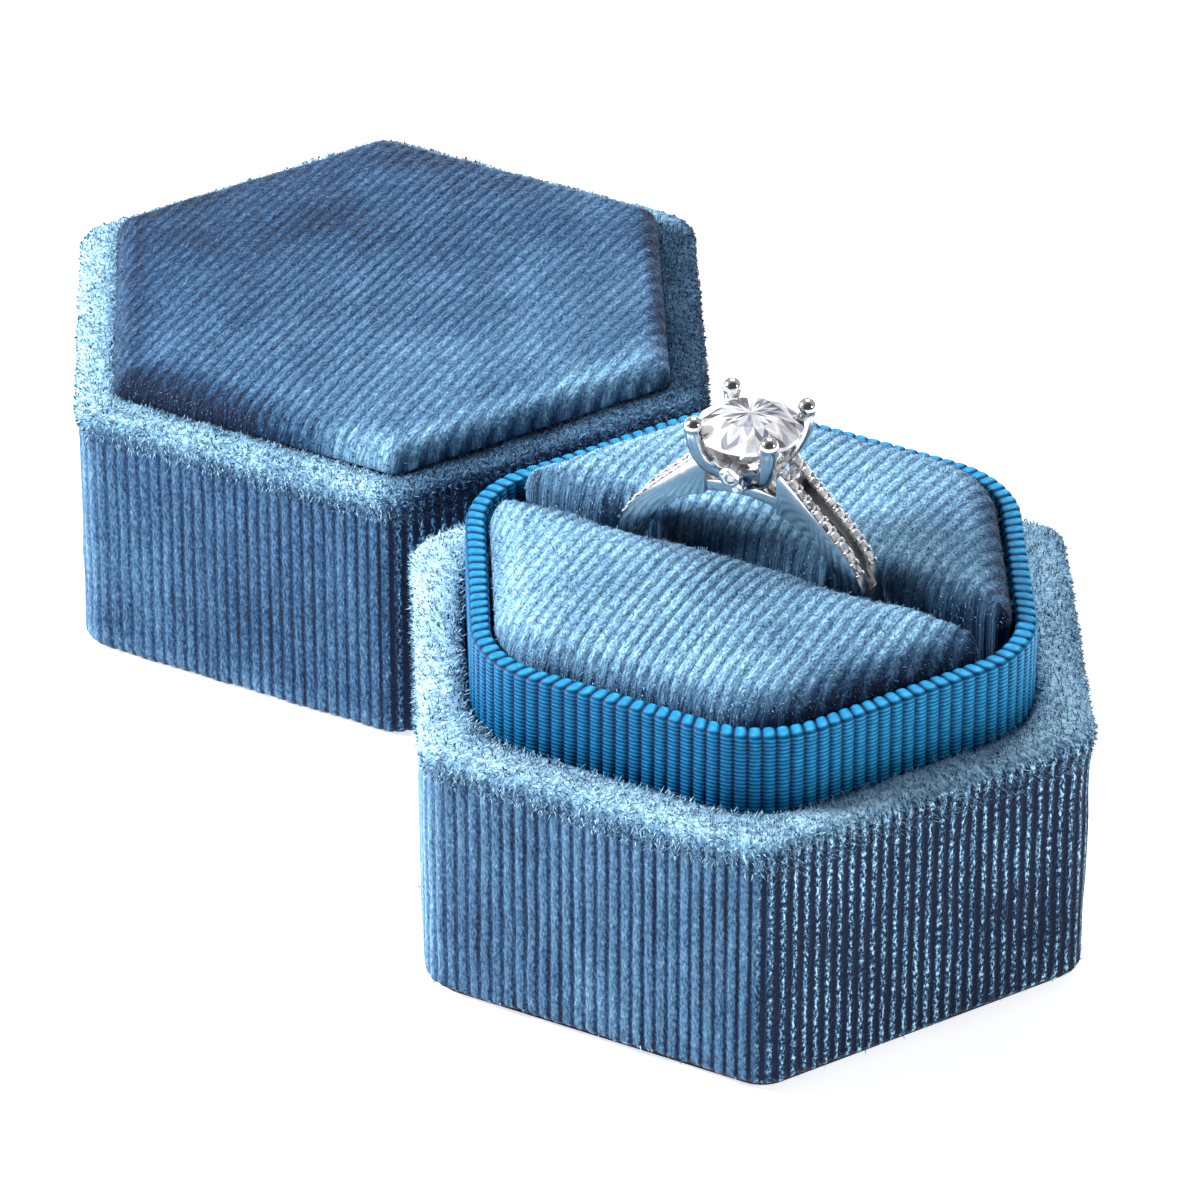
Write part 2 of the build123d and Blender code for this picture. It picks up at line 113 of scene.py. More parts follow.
class NodeShop:
    """The node tree of one new material."""

    def __init__(self, name: str) -> None:
        """Makes the material with its Principled shader.

        Args:
            name: the material's name.
        """
        self.material = bpy.data.materials.new(name)
        self.material.use_nodes = True
        self.tree = self.material.node_tree
        self.shader = self.tree.nodes["Principled BSDF"]

    def node(self, kind: str, settings: dict | None = None, inputs: dict | None = None, out: object = 0) -> Wire:
        """Adds a node.

        Args:
            kind: the node's type.
            settings: its properties; "stops" sets a colour ramp.
            inputs: socket name or number to a value or a wire.
            out: the output socket wanted.
        Returns:
            The wire from that output.
        """
        node = self.tree.nodes.new(kind)
        for key, value in (settings or {}).items():
            if key == "stops":
                self._ramp(node.color_ramp, value)
            else:
                setattr(node, key, value)
        for key, value in (inputs or {}).items():
            self.feed(node.inputs[key], value)
        return Wire(self, node.outputs[out])

    def maths(self, operation: str, *values: object) -> Wire:
        """Adds one Math node on its values in turn."""
        return self.node("ShaderNodeMath", {"operation": operation}, dict(enumerate(values)))

    @staticmethod
    def _ramp(ramp: bpy.types.ColorRamp, stops: list[tuple[float, tuple]]) -> None:
        """Sets a ramp's stops.

        Args:
            ramp: the ramp.
            stops: place and colour of each stop.
        """
        while len(ramp.elements) < len(stops):
            ramp.elements.new(0.5)
        for element, (place, colour) in zip(ramp.elements, stops):
            element.position = place
            element.color = (*colour, 1.0)

    def feed(self, socket: bpy.types.NodeSocket, value: object) -> None:
        """Links a wire to a socket, or sets its value.

        Args:
            socket: the input socket.
            value: a wire or a constant.
        """
        if isinstance(value, Wire):
            self.tree.links.new(value.socket, socket)
        else:
            socket.default_value = value

    def principled(self, **values: object) -> bpy.types.Material:
        """Sets or links the shader's sockets.

        Args:
            values: socket name, with an underscore for each space, to a constant or a wire.
        Returns:
            The finished material.
        """
        for key, value in values.items():
            self.feed(self.shader.inputs[key.replace("_", " ")], value)
        return self.material

    def place(self) -> Wire:
        """Object coordinates."""
        return self.node("ShaderNodeTexCoord", out="Object")

    def attribute(self, name: str) -> Wire:
        """A number that the mesh carries."""
        return self.node("ShaderNodeAttribute", {"attribute_name": name}, out="Fac")

    def normal(self) -> Wire:
        """The surface's normal."""
        return self.node("ShaderNodeNewGeometry", out="Normal")

    def along(self, way: tuple[float, float, float]) -> Wire:
        """How far the surface faces a direction."""
        values = {0: self.normal(), 1: way}
        return self.node("ShaderNodeVectorMath", {"operation": "DOT_PRODUCT"}, values, out="Value")

    def clamped(self, value: Wire) -> Wire:
        """A value kept between 0 and 1."""
        return self.node("ShaderNodeClamp", {}, {"Value": value}, out="Result")

    def ramp(self, tone: Wire, stops: tuple) -> Wire:
        """The colour of a tone on a ramp."""
        return self.node("ShaderNodeValToRGB", {"stops": stops}, {"Fac": tone}, out="Color")

    def lot(self, vector: Wire) -> Wire:
        """A random number, the same wherever the vector is."""
        return self.node("ShaderNodeTexWhiteNoise", {}, {"Vector": vector}, out="Value")

    def facet(self) -> Wire:
        """A random number for each flat facet: its normal is rounded to coarse steps first."""
        values = {0: self.normal(), 1: (0.06, 0.06, 0.06)}
        return self.lot(self.node("ShaderNodeVectorMath", {"operation": "SNAP"}, values, out="Vector"))

    def _noise(self, vector: Wire, stretch: tuple, scale: float, detail: float) -> Wire:
        """Noise on a stretched vector."""
        place = self.node("ShaderNodeMapping", {}, {"Vector": vector, "Scale": stretch})
        return self.node("ShaderNodeTexNoise", {}, {"Vector": place, "Scale": scale, "Detail": detail}, out="Fac")

    def grain(self, scale: float, detail: float = 2.0, stretch: tuple = (1.0, 1.0, 1.0)) -> Wire:
        """Noise on Object coordinates, stretched along each axis."""
        return self._noise(self.place(), stretch, scale, detail)

    def threads(self, scale: float, stretch: tuple, detail: float) -> Wire:
        """Noise laid along the ribs: the UV map counts ribs across and the same length along."""
        return self._noise(self.node("ShaderNodeUVMap", {"uv_map": "ribs"}, out="UV"), stretch, scale, detail)

    def bump(self, height: Wire, strength: float, distance: float) -> Wire:
        """A bump from a height."""
        values = {"Height": height, "Strength": strength, "Distance": distance}
        return self.node("ShaderNodeBump", {}, values, out="Normal")


# ---- Finishes ------------------------------------------------------------------------------------------------
@dataclass(frozen=True)
class Velvet:
    """Ribbed velvet with painted light and shade: painted shade in the grooves between its wales, painted light where
    the mesh marks it pale and on faces turned to the key light on the left, painted shade with painted glints along
    the crests on faces turned away.
    """

    name: str
    shade: Shade
    stops: tuple = (
        (0.0, (0.001, 0.008, 0.030)),
        (0.22, (0.009, 0.045, 0.115)),
        (0.48, (0.062, 0.148, 0.256)),
        (0.72, (0.165, 0.345, 0.510)),
        (1.0, (0.470, 0.720, 0.900)),
    )
    # the key light's direction on the left, and the weight of the painted light and shade that it gives
    key_light_way: tuple[float, float, float] = (-0.86, -0.20, 0.47)
    pull: float = 0.20
    sheen: float = 0.30
    # weight of the painted shade and painted glints on faces turned away from the key light
    glint_shade_weight: float = 1.0
    # weight of the painted shade in the grooves
    groove_shade: float = 0.30

    def material(self) -> bpy.types.Material:
        """Builds the finish.

        Returns:
            The velvet's material.
        """
        shop = NodeShop(self.name)
        wale = shop.attribute("wale")
        tone_and_light = shop.attribute("tone_and_light")
        # how far the surface faces the key light, for painted light and shade
        key_facing = shop.along(self.key_light_way)
        tuft = shop.threads(1.9, (1.0, 0.62 if self.shade is Shade.WALL else 0.5, 1.0), 2.0)
        strand = shop.threads(5.5, (1.0, 0.45, 1.0), 1.0)
        patch = shop.grain(150.0, 3.0)
        fibre = shop.grain(6500.0, 2.0)
        broken = shop.clamped((tuft - 0.36) * 4.5)
        # painted shade in the grooves between the wales, broken up by the tufts
        groove = (1 - wale) * (0.2 + broken)
        tone = tone_and_light - self.groove_shade * groove + 0.50 * tuft + 0.55 * strand + 0.30 * patch + 0.26 * fibre - 0.80
        # painted light on faces turned to the key light, painted shade on faces turned away
        lit = key_facing * (self.pull + 0.25 * strand)
        # faces turned away from the key light, which get painted shade
        shaded = shop.clamped(0.15 - key_facing)
        # painted glints along the crests of the wales
        spark = wale ** 3 * (1.6 * strand + 0.9 * fibre - 0.60)
        # painted shade over faces turned away from the key light, mottled, with painted glints on the crests
        painted_glint_shade = shaded * (2.3 * spark + 1.1 * patch - 1.58)
        colour = shop.ramp(tone + lit + self.glint_shade_weight * painted_glint_shade, self.stops)
        height = tuft + 0.7 * strand + 0.4 * fibre
        return shop.principled(
            Base_Color=colour, Roughness=0.8, Normal=shop.bump(height, 0.7, 0.00025), Sheen_Weight=self.sheen,
            Sheen_Roughness=0.30, Sheen_Tint=(0.60, 0.80, 1.0, 1.0), Specular_IOR_Level=0.2,
        )


@dataclass(frozen=True)
class Grosgrain:
    """Ribbon with upright ribs and a fine cross weave, with painted shade between the ribs and painted light on faces
    turned to the right.
    """

    name: str = "grosgrain_ribbon"
    threads_per_metre: float = 3300.0
    # the direction of the painted light
    lit_way: tuple[float, float, float] = (0.92, 0.28, 0.28)

    def material(self) -> bpy.types.Material:
        """Builds the finish.

        Returns:
            The ribbon's material.
        """
        shop = NodeShop(self.name)
        rib = shop.attribute("wale")
        waves = {"wave_type": "BANDS", "bands_direction": "Z"}
        values = {"Vector": shop.place(), "Scale": self.threads_per_metre / 6.283 * 2.0, "Distortion": 0.6}
        weave = shop.node("ShaderNodeTexWave", waves, values, out="Fac")
        grain = shop.grain(3000.0, 2.0)
        # painted light on faces turned to the right
        facing = shop.clamped(shop.along(self.lit_way))
        # painted shade between the ribs, the weave, random grain and the painted light
        tone = 0.52 * rib + 0.44 * weave + 0.36 * grain - 0.40 + 0.26 * facing
        stops = ((0.0, (0.0003, 0.008, 0.035)), (0.40, (0.001, 0.062, 0.170)), (0.75, (0.005, 0.200, 0.420)),
                 (1.0, (0.050, 0.420, 0.680)))
        normal = shop.bump(weave + 0.5 * grain, 0.5, 0.00008)
        return shop.principled(
            Base_Color=shop.ramp(tone, stops), Roughness=0.5, Normal=normal, Specular_IOR_Level=0.12,
        )


@dataclass(frozen=True)
class Stuff:
    """A plain matt stuff with its own grain: board, paper, foam or felt."""

    name: str
    dark: tuple
    light: tuple
    scale: float
    relief: float

    def material(self) -> bpy.types.Material:
        """Builds the finish.

        Returns:
            The material.
        """
        shop = NodeShop(self.name)
        grain = shop.grain(self.scale, 4.0)
        colour = shop.ramp(grain, ((0.3, self.dark), (0.7, self.light)))
        normal = shop.bump(grain, 0.6, self.relief)
        return shop.principled(Base_Color=colour, Roughness=0.9, Normal=normal)


@dataclass(frozen=True)
class WhiteMetal:
    """Polished white metal with faint handling marks."""

    name: str = "polished_white_metal"

    def material(self) -> bpy.types.Material:
        """Builds the finish.

        Returns:
            The metal's material.
        """
        shop = NodeShop(self.name)
        marks = shop.grain(900.0, 4.0, (1.0, 1.0, 3.0))
        roughness = 0.08 + 0.12 * marks
        normal = shop.bump(marks, 0.12, 0.00004)
        return shop.principled(Base_Color=(0.60, 0.60, 0.605, 1.0), Metallic=1.0, Roughness=roughness, Normal=normal)


@dataclass(frozen=True)
class Gem:
    """Clear cut stone with painted reflections: each facet is painted light or dark, broken up by painted cells that
    stand for the facets behind it.
    """

    name: str = "clear_stone"
    cells: float = 1700.0

    @staticmethod
    def cut(shop: NodeShop, tone: Wire, stops: tuple) -> bpy.types.Material:
        """Finishes a stone.

        Args:
            shop: the stone's node tree.
            tone: how light each facet is painted, standing for its reflections.
            stops: the ramp from tone to colour.
        Returns:
            The stone's material.
        """
        return shop.principled(Base_Color=shop.ramp(tone, stops), Roughness=0.03, Transmission_Weight=0.35, IOR=2.2,
                               Specular_IOR_Level=0.8, Coat_Weight=1.0, Coat_Roughness=0.0)

    def material(self) -> bpy.types.Material:
        """Builds the finish.

        Returns:
            The stone's material.
        """
        shop = NodeShop(self.name)
        values = {"Vector": shop.place(), "Scale": self.cells}
        cell = shop.node("ShaderNodeTexVoronoi", {}, values, out="Color")
        stops = ((0.12, (0.03, 0.035, 0.045)), (0.34, (0.30, 0.33, 0.38)), (0.55, (0.80, 0.84, 0.90)),
                 (0.85, (1.0, 1.0, 1.0)))
        # painted reflections: a random light or dark for each facet and for each cell
        return self.cut(shop, 0.42 * shop.facet() + 0.72 * shop.lot(cell), stops)


@dataclass(frozen=True)
class CenterGem(Gem):
    """The center stone's finish: painted reflections in wedges of light and dark round its upright axis."""

    name: str = "center_stone"
    wedges: int = 16

    def material(self) -> bpy.types.Material:
        """Builds the finish.

        Returns:
            The stone's material.
        """
        shop = NodeShop(self.name)
        parts = shop.tree.nodes.new("ShaderNodeSeparateXYZ")
        shop.feed(parts.inputs[0], shop.place())
        x, y = Wire(shop, parts.outputs[0]), Wire(shop, parts.outputs[1])
        turn = shop.maths("ARCTAN2", y, x) * (self.wedges / math.tau) + 16.5
        reach = shop.maths("SQRT", x * x + y * y)
        wedge = shop.maths("FLOOR", turn)
        tooth = shop.maths("ABSOLUTE", turn - wedge - 0.5)
        band = shop.maths("FLOOR", reach * 1500.0 + tooth * 2.6)
        cell = shop.node("ShaderNodeCombineXYZ", {}, {0: wedge, 1: band, 2: 0.0})
        stops = ((0.12, (0.02, 0.022, 0.03)), (0.24, (0.16, 0.18, 0.26)), (0.36, (0.42, 0.44, 0.54)),
                 (0.48, (0.72, 0.73, 0.80)), (0.64, (1.0, 1.0, 1.0)))
        # painted reflections: a random light or dark for each wedge, band and facet
        return self.cut(shop, 0.72 * shop.lot(cell) + 0.36 * shop.facet() - 0.02, stops)


# ---- Modelling helpers ---------------------------------------------------------------------------------------
def pick(*objects: bpy.types.Object) -> None:
    """Selects these objects and nothing else, the first of them active.

    Args:
        objects: the objects, or none.
    """
    if bpy.context.object and bpy.context.object.mode != "OBJECT":
        bpy.ops.object.mode_set(mode="OBJECT")
    bpy.ops.object.select_all(action="DESELECT")
    for obj in objects:
        obj.select_set(True)
    if objects:
        bpy.context.view_layer.objects.active = objects[0]


def stamped(pattern: bpy.types.Object, place: Matrix) -> bpy.types.Object:
    """Copies a pattern with its mesh to a place.

    Args:
        pattern: the object.
        place: where the copy goes.
    Returns:
        The copy.
    """
    copy = pattern.copy()
    copy.data = pattern.data.copy()
    copy.data.transform(place)
    bpy.context.collection.objects.link(copy)
    return copy


def joined(name: str, copies: list[bpy.types.Object], pattern: bpy.types.Object) -> bpy.types.Object:
    """Makes one piece of many copies.

    Args:
        name: the piece's name.
        copies: the copies.
        pattern: what they were copied from, which goes away.
    Returns:
        The piece.
    """
    bpy.data.objects.remove(pattern)
    pick(*copies)
    bpy.ops.object.join()
    bpy.context.object.name = name
    return bpy.context.object


def select_open_edges(obj: bpy.types.Object) -> None:
    """Selects the open edges, and nothing else, of a mesh in edit mode.

    Args:
        obj: the mesh object.
    """
    bpy.ops.mesh.select_all(action="DESELECT")
    mesh = bmesh.from_edit_mesh(obj.data)
    for edge in mesh.edges:
        if edge.is_boundary:
            edge.select_set(True)


def close_up() -> None:
    """Turns the normals of the mesh being edited outward and leaves edit mode."""
    bpy.ops.mesh.select_all(action="SELECT")
    bpy.ops.mesh.normals_make_consistent(inside=False)
    bpy.ops.object.mode_set(mode="OBJECT")


def wale_height(phase: float) -> float:
    """Height of a rounded wale over its groove, 0 to 1; phase counts whole wales."""
    return abs(math.sin(math.pi * phase)) ** 0.5


def soft(place: Vector, size: float, seed: float = 0.0) -> float:
    """Smooth noise, about -1 to 1, with features of that size in millimetres."""
    return noise.noise(place / (size * MM) + Vector((seed, seed * 1.7, seed * 0.3)))


def paint(obj: bpy.types.Object, values: Paint) -> None:
    """Gives a mesh its wale numbers, its numbers for how pale the velvet is painted, painted light and shade
    included, and its rib-wise UV map.

    Args:
        obj: the mesh object.
        values: place of a vertex to its wale, how pale it is painted with painted light and shade, rib count and
            length along the rib.
    """
    mesh = obj.data
    wale = mesh.attributes.new("wale", "FLOAT", "POINT")
    tone_and_light = mesh.attributes.new("tone_and_light", "FLOAT", "POINT")
    found = [values.get(tuple(vertex.co), PLAIN_PAINT) for vertex in mesh.vertices]
    for n, value in enumerate(found):
        wale.data[n].value, tone_and_light.data[n].value = value[0], value[1]
    ribs = mesh.uv_layers.new(name="ribs")
    for face in mesh.polygons:
        across = [found[mesh.loops[k].vertex_index][2] for k in face.loop_indices]
        wrap = max(across) if max(across) - min(across) > SEAM_JUMP else 0.0
        for k in face.loop_indices:
            _, _, count, run = found[mesh.loops[k].vertex_index]
            if wrap and count < SEAM_JUMP:
                count += wrap + 1 / RIB_COLUMNS
            ribs.data[k].uv = (count, run)


def finish_piece(obj: bpy.types.Object, body: str, material: bpy.types.Material) -> bpy.types.Object:
    """Dresses a piece and fixes it to its body.

    Args:
        obj: the piece.
        body: the body it rides on.
        material: its finish.
    Returns:
        The piece.
    """
    pick(obj)
    bpy.ops.object.shade_smooth()
    obj.data.materials.clear()
    obj.data.materials.append(material)
    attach(obj, body)
    log.info("%s: %d faces on %s", obj.name, len(obj.data.polygons), body)
    return obj


def extruded_rings(name: str, rings: list[list[Vector]]) -> bpy.types.Object:
    """A closed shell: a circle laid on the first ring, extruded on to each next ring, and bridged to its start.

    Args:
        name: the piece's name.
        rings: points of each ring, the same number in each.
    Returns:
        The new object.
    """
    pick()
    bpy.ops.mesh.primitive_circle_add(vertices=len(rings[0]), radius=0.02)
    obj = bpy.context.object
    obj.name = name
    bpy.ops.object.mode_set(mode="EDIT")
    mesh = bmesh.from_edit_mesh(obj.data)
    for vertex, place in zip(mesh.verts, rings[0]):
        vertex.co = place
    for before, after in zip(rings, rings[1:]):
        bpy.ops.mesh.extrude_region_move()
        mesh = bmesh.from_edit_mesh(obj.data)
        where = {tuple(place): n for n, place in enumerate(before)}
        for vertex in mesh.verts:
            if vertex.select:
                vertex.co = after[where[tuple(vertex.co)]]
    select_open_edges(obj)
    bpy.ops.mesh.bridge_edge_loops()
    close_up()
    return obj


# ---- Hexagon walls -------------------------------------------------------------------------------------------
def hexagon_reach(half: float, corner: float, angle: float) -> float:
    """Distance from the centre to a rounded hexagon's outline.

    Args:
        half: half the width across flats.
        corner: the corners' radius.
        angle: the direction, in radians.
    Returns:
        The distance.
    """
    turn = (angle - math.radians(30)) % math.radians(60)
    off_flat = min(turn, math.radians(60) - turn)
    tangent = math.atan((half - corner) * math.tan(math.radians(30)) / half)
    if off_flat <= tangent:
        return half / math.cos(off_flat)
    off_corner = math.radians(30) - off_flat
    centre = (half - corner) / math.cos(math.radians(30))
    return centre * math.cos(off_corner) + math.sqrt(max(corner ** 2 - (centre * math.sin(off_corner)) ** 2, 0.0))


@dataclass
class Station:
    """One step of a wall's profile, in millimetres, with how pale the velvet is painted there, painted light and
    shade included.
    """

    half: float
    corner: float
    z: float
    tone_and_light: float = 0.4
    ribbed: bool = True
    relief: float = 1.0


@dataclass
class RibbedWall:
    """A hexagonal skin whose ribs follow its profile up, over and down."""

    name: str
    centre: tuple[float, float]
    profile: list[Station]
    pitch: float = 0.9
    depth: float = 0.11
    columns: int = RIB_COLUMNS
    wander: float = 0.10
    fuzz: float = 0.0
    # an optional painted shade: a change of how pale the velvet is at a place
    painted_shade: Callable[[Vector], float] | None = None
    values: Paint = field(default_factory=dict)

    def angles(self) -> list[float]:
        """Works out the columns' angles.

        Returns:
            The angles, evenly spaced along the widest outline.
        """
        widest = max(self.profile, key=lambda step: step.half)
        fine = [math.tau * n / 7200 for n in range(7201)]
        points = [Vector((math.cos(a), math.sin(a))) * hexagon_reach(widest.half, widest.corner, a) for a in fine]
        runs = [0.0]
        for first, second in zip(points, points[1:]):
            runs.append(runs[-1] + (second - first).length)
        ribs = round(runs[-1] / self.pitch)
        step = runs[-1] / (ribs * self.columns)
        found, n = [], 0
        for k in range(ribs * self.columns):
            while runs[n + 1] < k * step:
                n += 1
            share = (k * step - runs[n]) / (runs[n + 1] - runs[n])
            found.append(fine[n] + (fine[n + 1] - fine[n]) * share)
        return found

    def rings(self) -> list[list[Vector]]:
        """Works out the points of the skin and notes what each is painted with.

        Returns:
            The points of every station's ring.
        """
        angles = self.angles()
        centre = Vector((self.centre[0], self.centre[1], 0.0))
        rings = []
        run = 0.0
        for n, step in enumerate(self.profile):
            before = self.profile[max(n - 1, 0)]
            run += math.hypot(step.half - before.half, step.z - before.z) / self.pitch
            after = self.profile[min(n + 1, len(self.profile) - 1)]
            out, up = after.z - before.z, before.half - after.half
            size = math.hypot(out, up) or 1.0
            ring = []
            for k, angle in enumerate(angles):
                reach = hexagon_reach(step.half, step.corner, angle)
                height = wale_height(k / self.columns)
                way = Vector((math.cos(angle) * out, math.sin(angle) * out, up)) / size
                place = Vector((math.cos(angle) * reach, math.sin(angle) * reach, step.z)) * MM + centre
                if step.ribbed:
                    drift = soft(place, 2.6) * self.wander + soft(place, 0.55, 3.0) * self.fuzz
                    place = place + way * (self.depth * step.relief * (height - 1.0) + drift) * MM
                # how pale the velvet is here: the station's painted light and shade, random tone, and any painted
                # shade passed in
                tone_and_light = step.tone_and_light + 0.05 * soft(place, 5.0, 8.0) + (self.painted_shade(place) if self.painted_shade else 0.0)
                self.values[tuple(place)] = (1 - (1 - height) * min(step.relief, 1.0), tone_and_light, k / self.columns, run)
                ring.append(place)
            rings.append(ring)
        return rings

    def build(self) -> bpy.types.Object:
        """Builds the skin.

        Returns:
            The new object.
        """
        obj = extruded_rings(self.name, self.rings())
        paint(obj, self.values)
        return obj


def arc(half: float, z: float, radius: float, start: float, end: float, steps: int, corner: float, tone_and_light: float,
        tone_and_light_end: float | None = None) -> list[Station]:
    """Stations round an arc of the profile.

    Args:
        half: how far out the arc's centre is.
        z: height of its centre.
        radius: its radius, negative for a hollow arc.
        start: where it starts, in degrees from outwards towards up.
        end: where it ends.
        steps: steps between the stations.
        corner: the outline's corner radius.
        tone_and_light: how pale the pile is at the start.
        tone_and_light_end: how pale it is at the end, if not the same.
    Returns:
        The stations.
    """
    last = tone_and_light if tone_and_light_end is None else tone_and_light_end
    found = []
    for n in range(steps + 1):
        share = n / steps
        turn = math.radians(start + (end - start) * share)
        out = half + radius * math.cos(turn)
        step = Station(out, corner, z + radius * math.sin(turn), tone_and_light + (last - tone_and_light) * share)
        step.relief = 0.2 if step.tone_and_light > 0.52 and tone_and_light > 0.45 else (0.55 if tone_and_light > 0.45 else 1.0)
        found.append(step)
    return found


# ---- Pile ----------------------------------------------------------------------------------------------------
@dataclass
class Pile:
    """Short loose fibres standing on part of a velvet piece."""

    name: str
    count: int
    length: float = 0.55
    width: float = 0.075
    tone_and_light: float = 0.75
    seed: int = 1
    # an optional painted shade: a change of how pale the velvet is at a place
    painted_shade: Callable[[Vector], float] | None = None

    @staticmethod
    def patches(skin: bpy.types.Object) -> list[list[Vector]]:
        """Lists a skin's faces in an order set by their places alone, because mesh operators keep none.

        Args:
            skin: the piece.
        Returns:
            The corners of each face of up to four, from its lowest corner in x, y and z.
        """
        found = []
        for face in skin.data.polygons:
            corners = [skin.data.vertices[n].co.copy() for n in face.vertices]
            first = corners.index(min(corners, key=tuple))
            if len(corners) <= 4:
                found.append(corners[first:] + corners[:first])
        return sorted(found, key=lambda corners: [tuple(corner) for corner in corners])

    def build(self, skin: bpy.types.Object, where: Callable[[Vector, Vector], float]) -> bpy.types.Object:
        """Scatters the fibres.

        Args:
            skin: the piece that they stand on.
            where: gives the share of fibres wanted at a place with a normal, 0 to 1.
        Returns:
            The new object.
        """
        rng = random.Random(self.seed)
        faces = []
        weights = []
        for corners in self.patches(skin):
            cross = (corners[2] - corners[0]).cross(corners[-1] - corners[1])
            normal = cross.normalized()
            share = where(sum(corners, Vector()) / len(corners), normal)
            if share > 0:
                faces.append((corners, normal))
                weights.append(share * cross.length)
        points, triangles, values = [], [], {}
        for corners, normal in rng.choices(faces, weights, k=self.count):
            across, up = rng.random(), rng.random()
            near = corners[0].lerp(corners[1], across)
            centre = near.lerp(corners[-1].lerp(corners[2], across) if len(corners) > 3 else corners[2], up)
            jitter = Vector((rng.uniform(-1, 1), rng.uniform(-1, 1), rng.uniform(-1, 1)))
            root = centre + jitter * 0.10 * MM - normal * 0.05 * MM
            way = (normal * 0.62 + (jitter - normal * jitter.dot(normal)) * 0.9).normalized()
            side = way.cross(normal).normalized()
            size = self.length * rng.uniform(0.5, 1.15) * MM
            first = len(points)
            points += [root - side * self.width / 2 * MM, root + side * self.width / 2 * MM, root + way * size]
            triangles.append((first, first + 1, first + 2))
            # each fibre's pale tone: its piece's painted light and shade, varied at random
            tone = self.tone_and_light + rng.uniform(-0.19, 0.19) + (self.painted_shade(root) if self.painted_shade else 0.0)
            # the root is marked like a groove and the tip like a crest, so the velvet paints shade at the root and
            # glints at the tip
            for n in range(first, first + 3):
                values[n] = (0.35 if n < first + 2 else 1.0, tone)
        mesh = bpy.data.meshes.new(self.name)
        mesh.from_pydata(points, [], triangles)
        obj = bpy.data.objects.new(self.name, mesh)
        bpy.context.collection.objects.link(obj)
        wale = mesh.attributes.new("wale", "FLOAT", "POINT")
        tone_and_light = mesh.attributes.new("tone_and_light", "FLOAT", "POINT")
        for n, (height, tone) in values.items():
            wale.data[n].value, tone_and_light.data[n].value = height, tone
        ribs = mesh.uv_layers.new(name="ribs")
        for k, loop in enumerate(mesh.loops):
            ribs.data[k].uv = (loop.vertex_index // 3 * 0.37, loop.vertex_index % 3 * 0.5)
        return obj


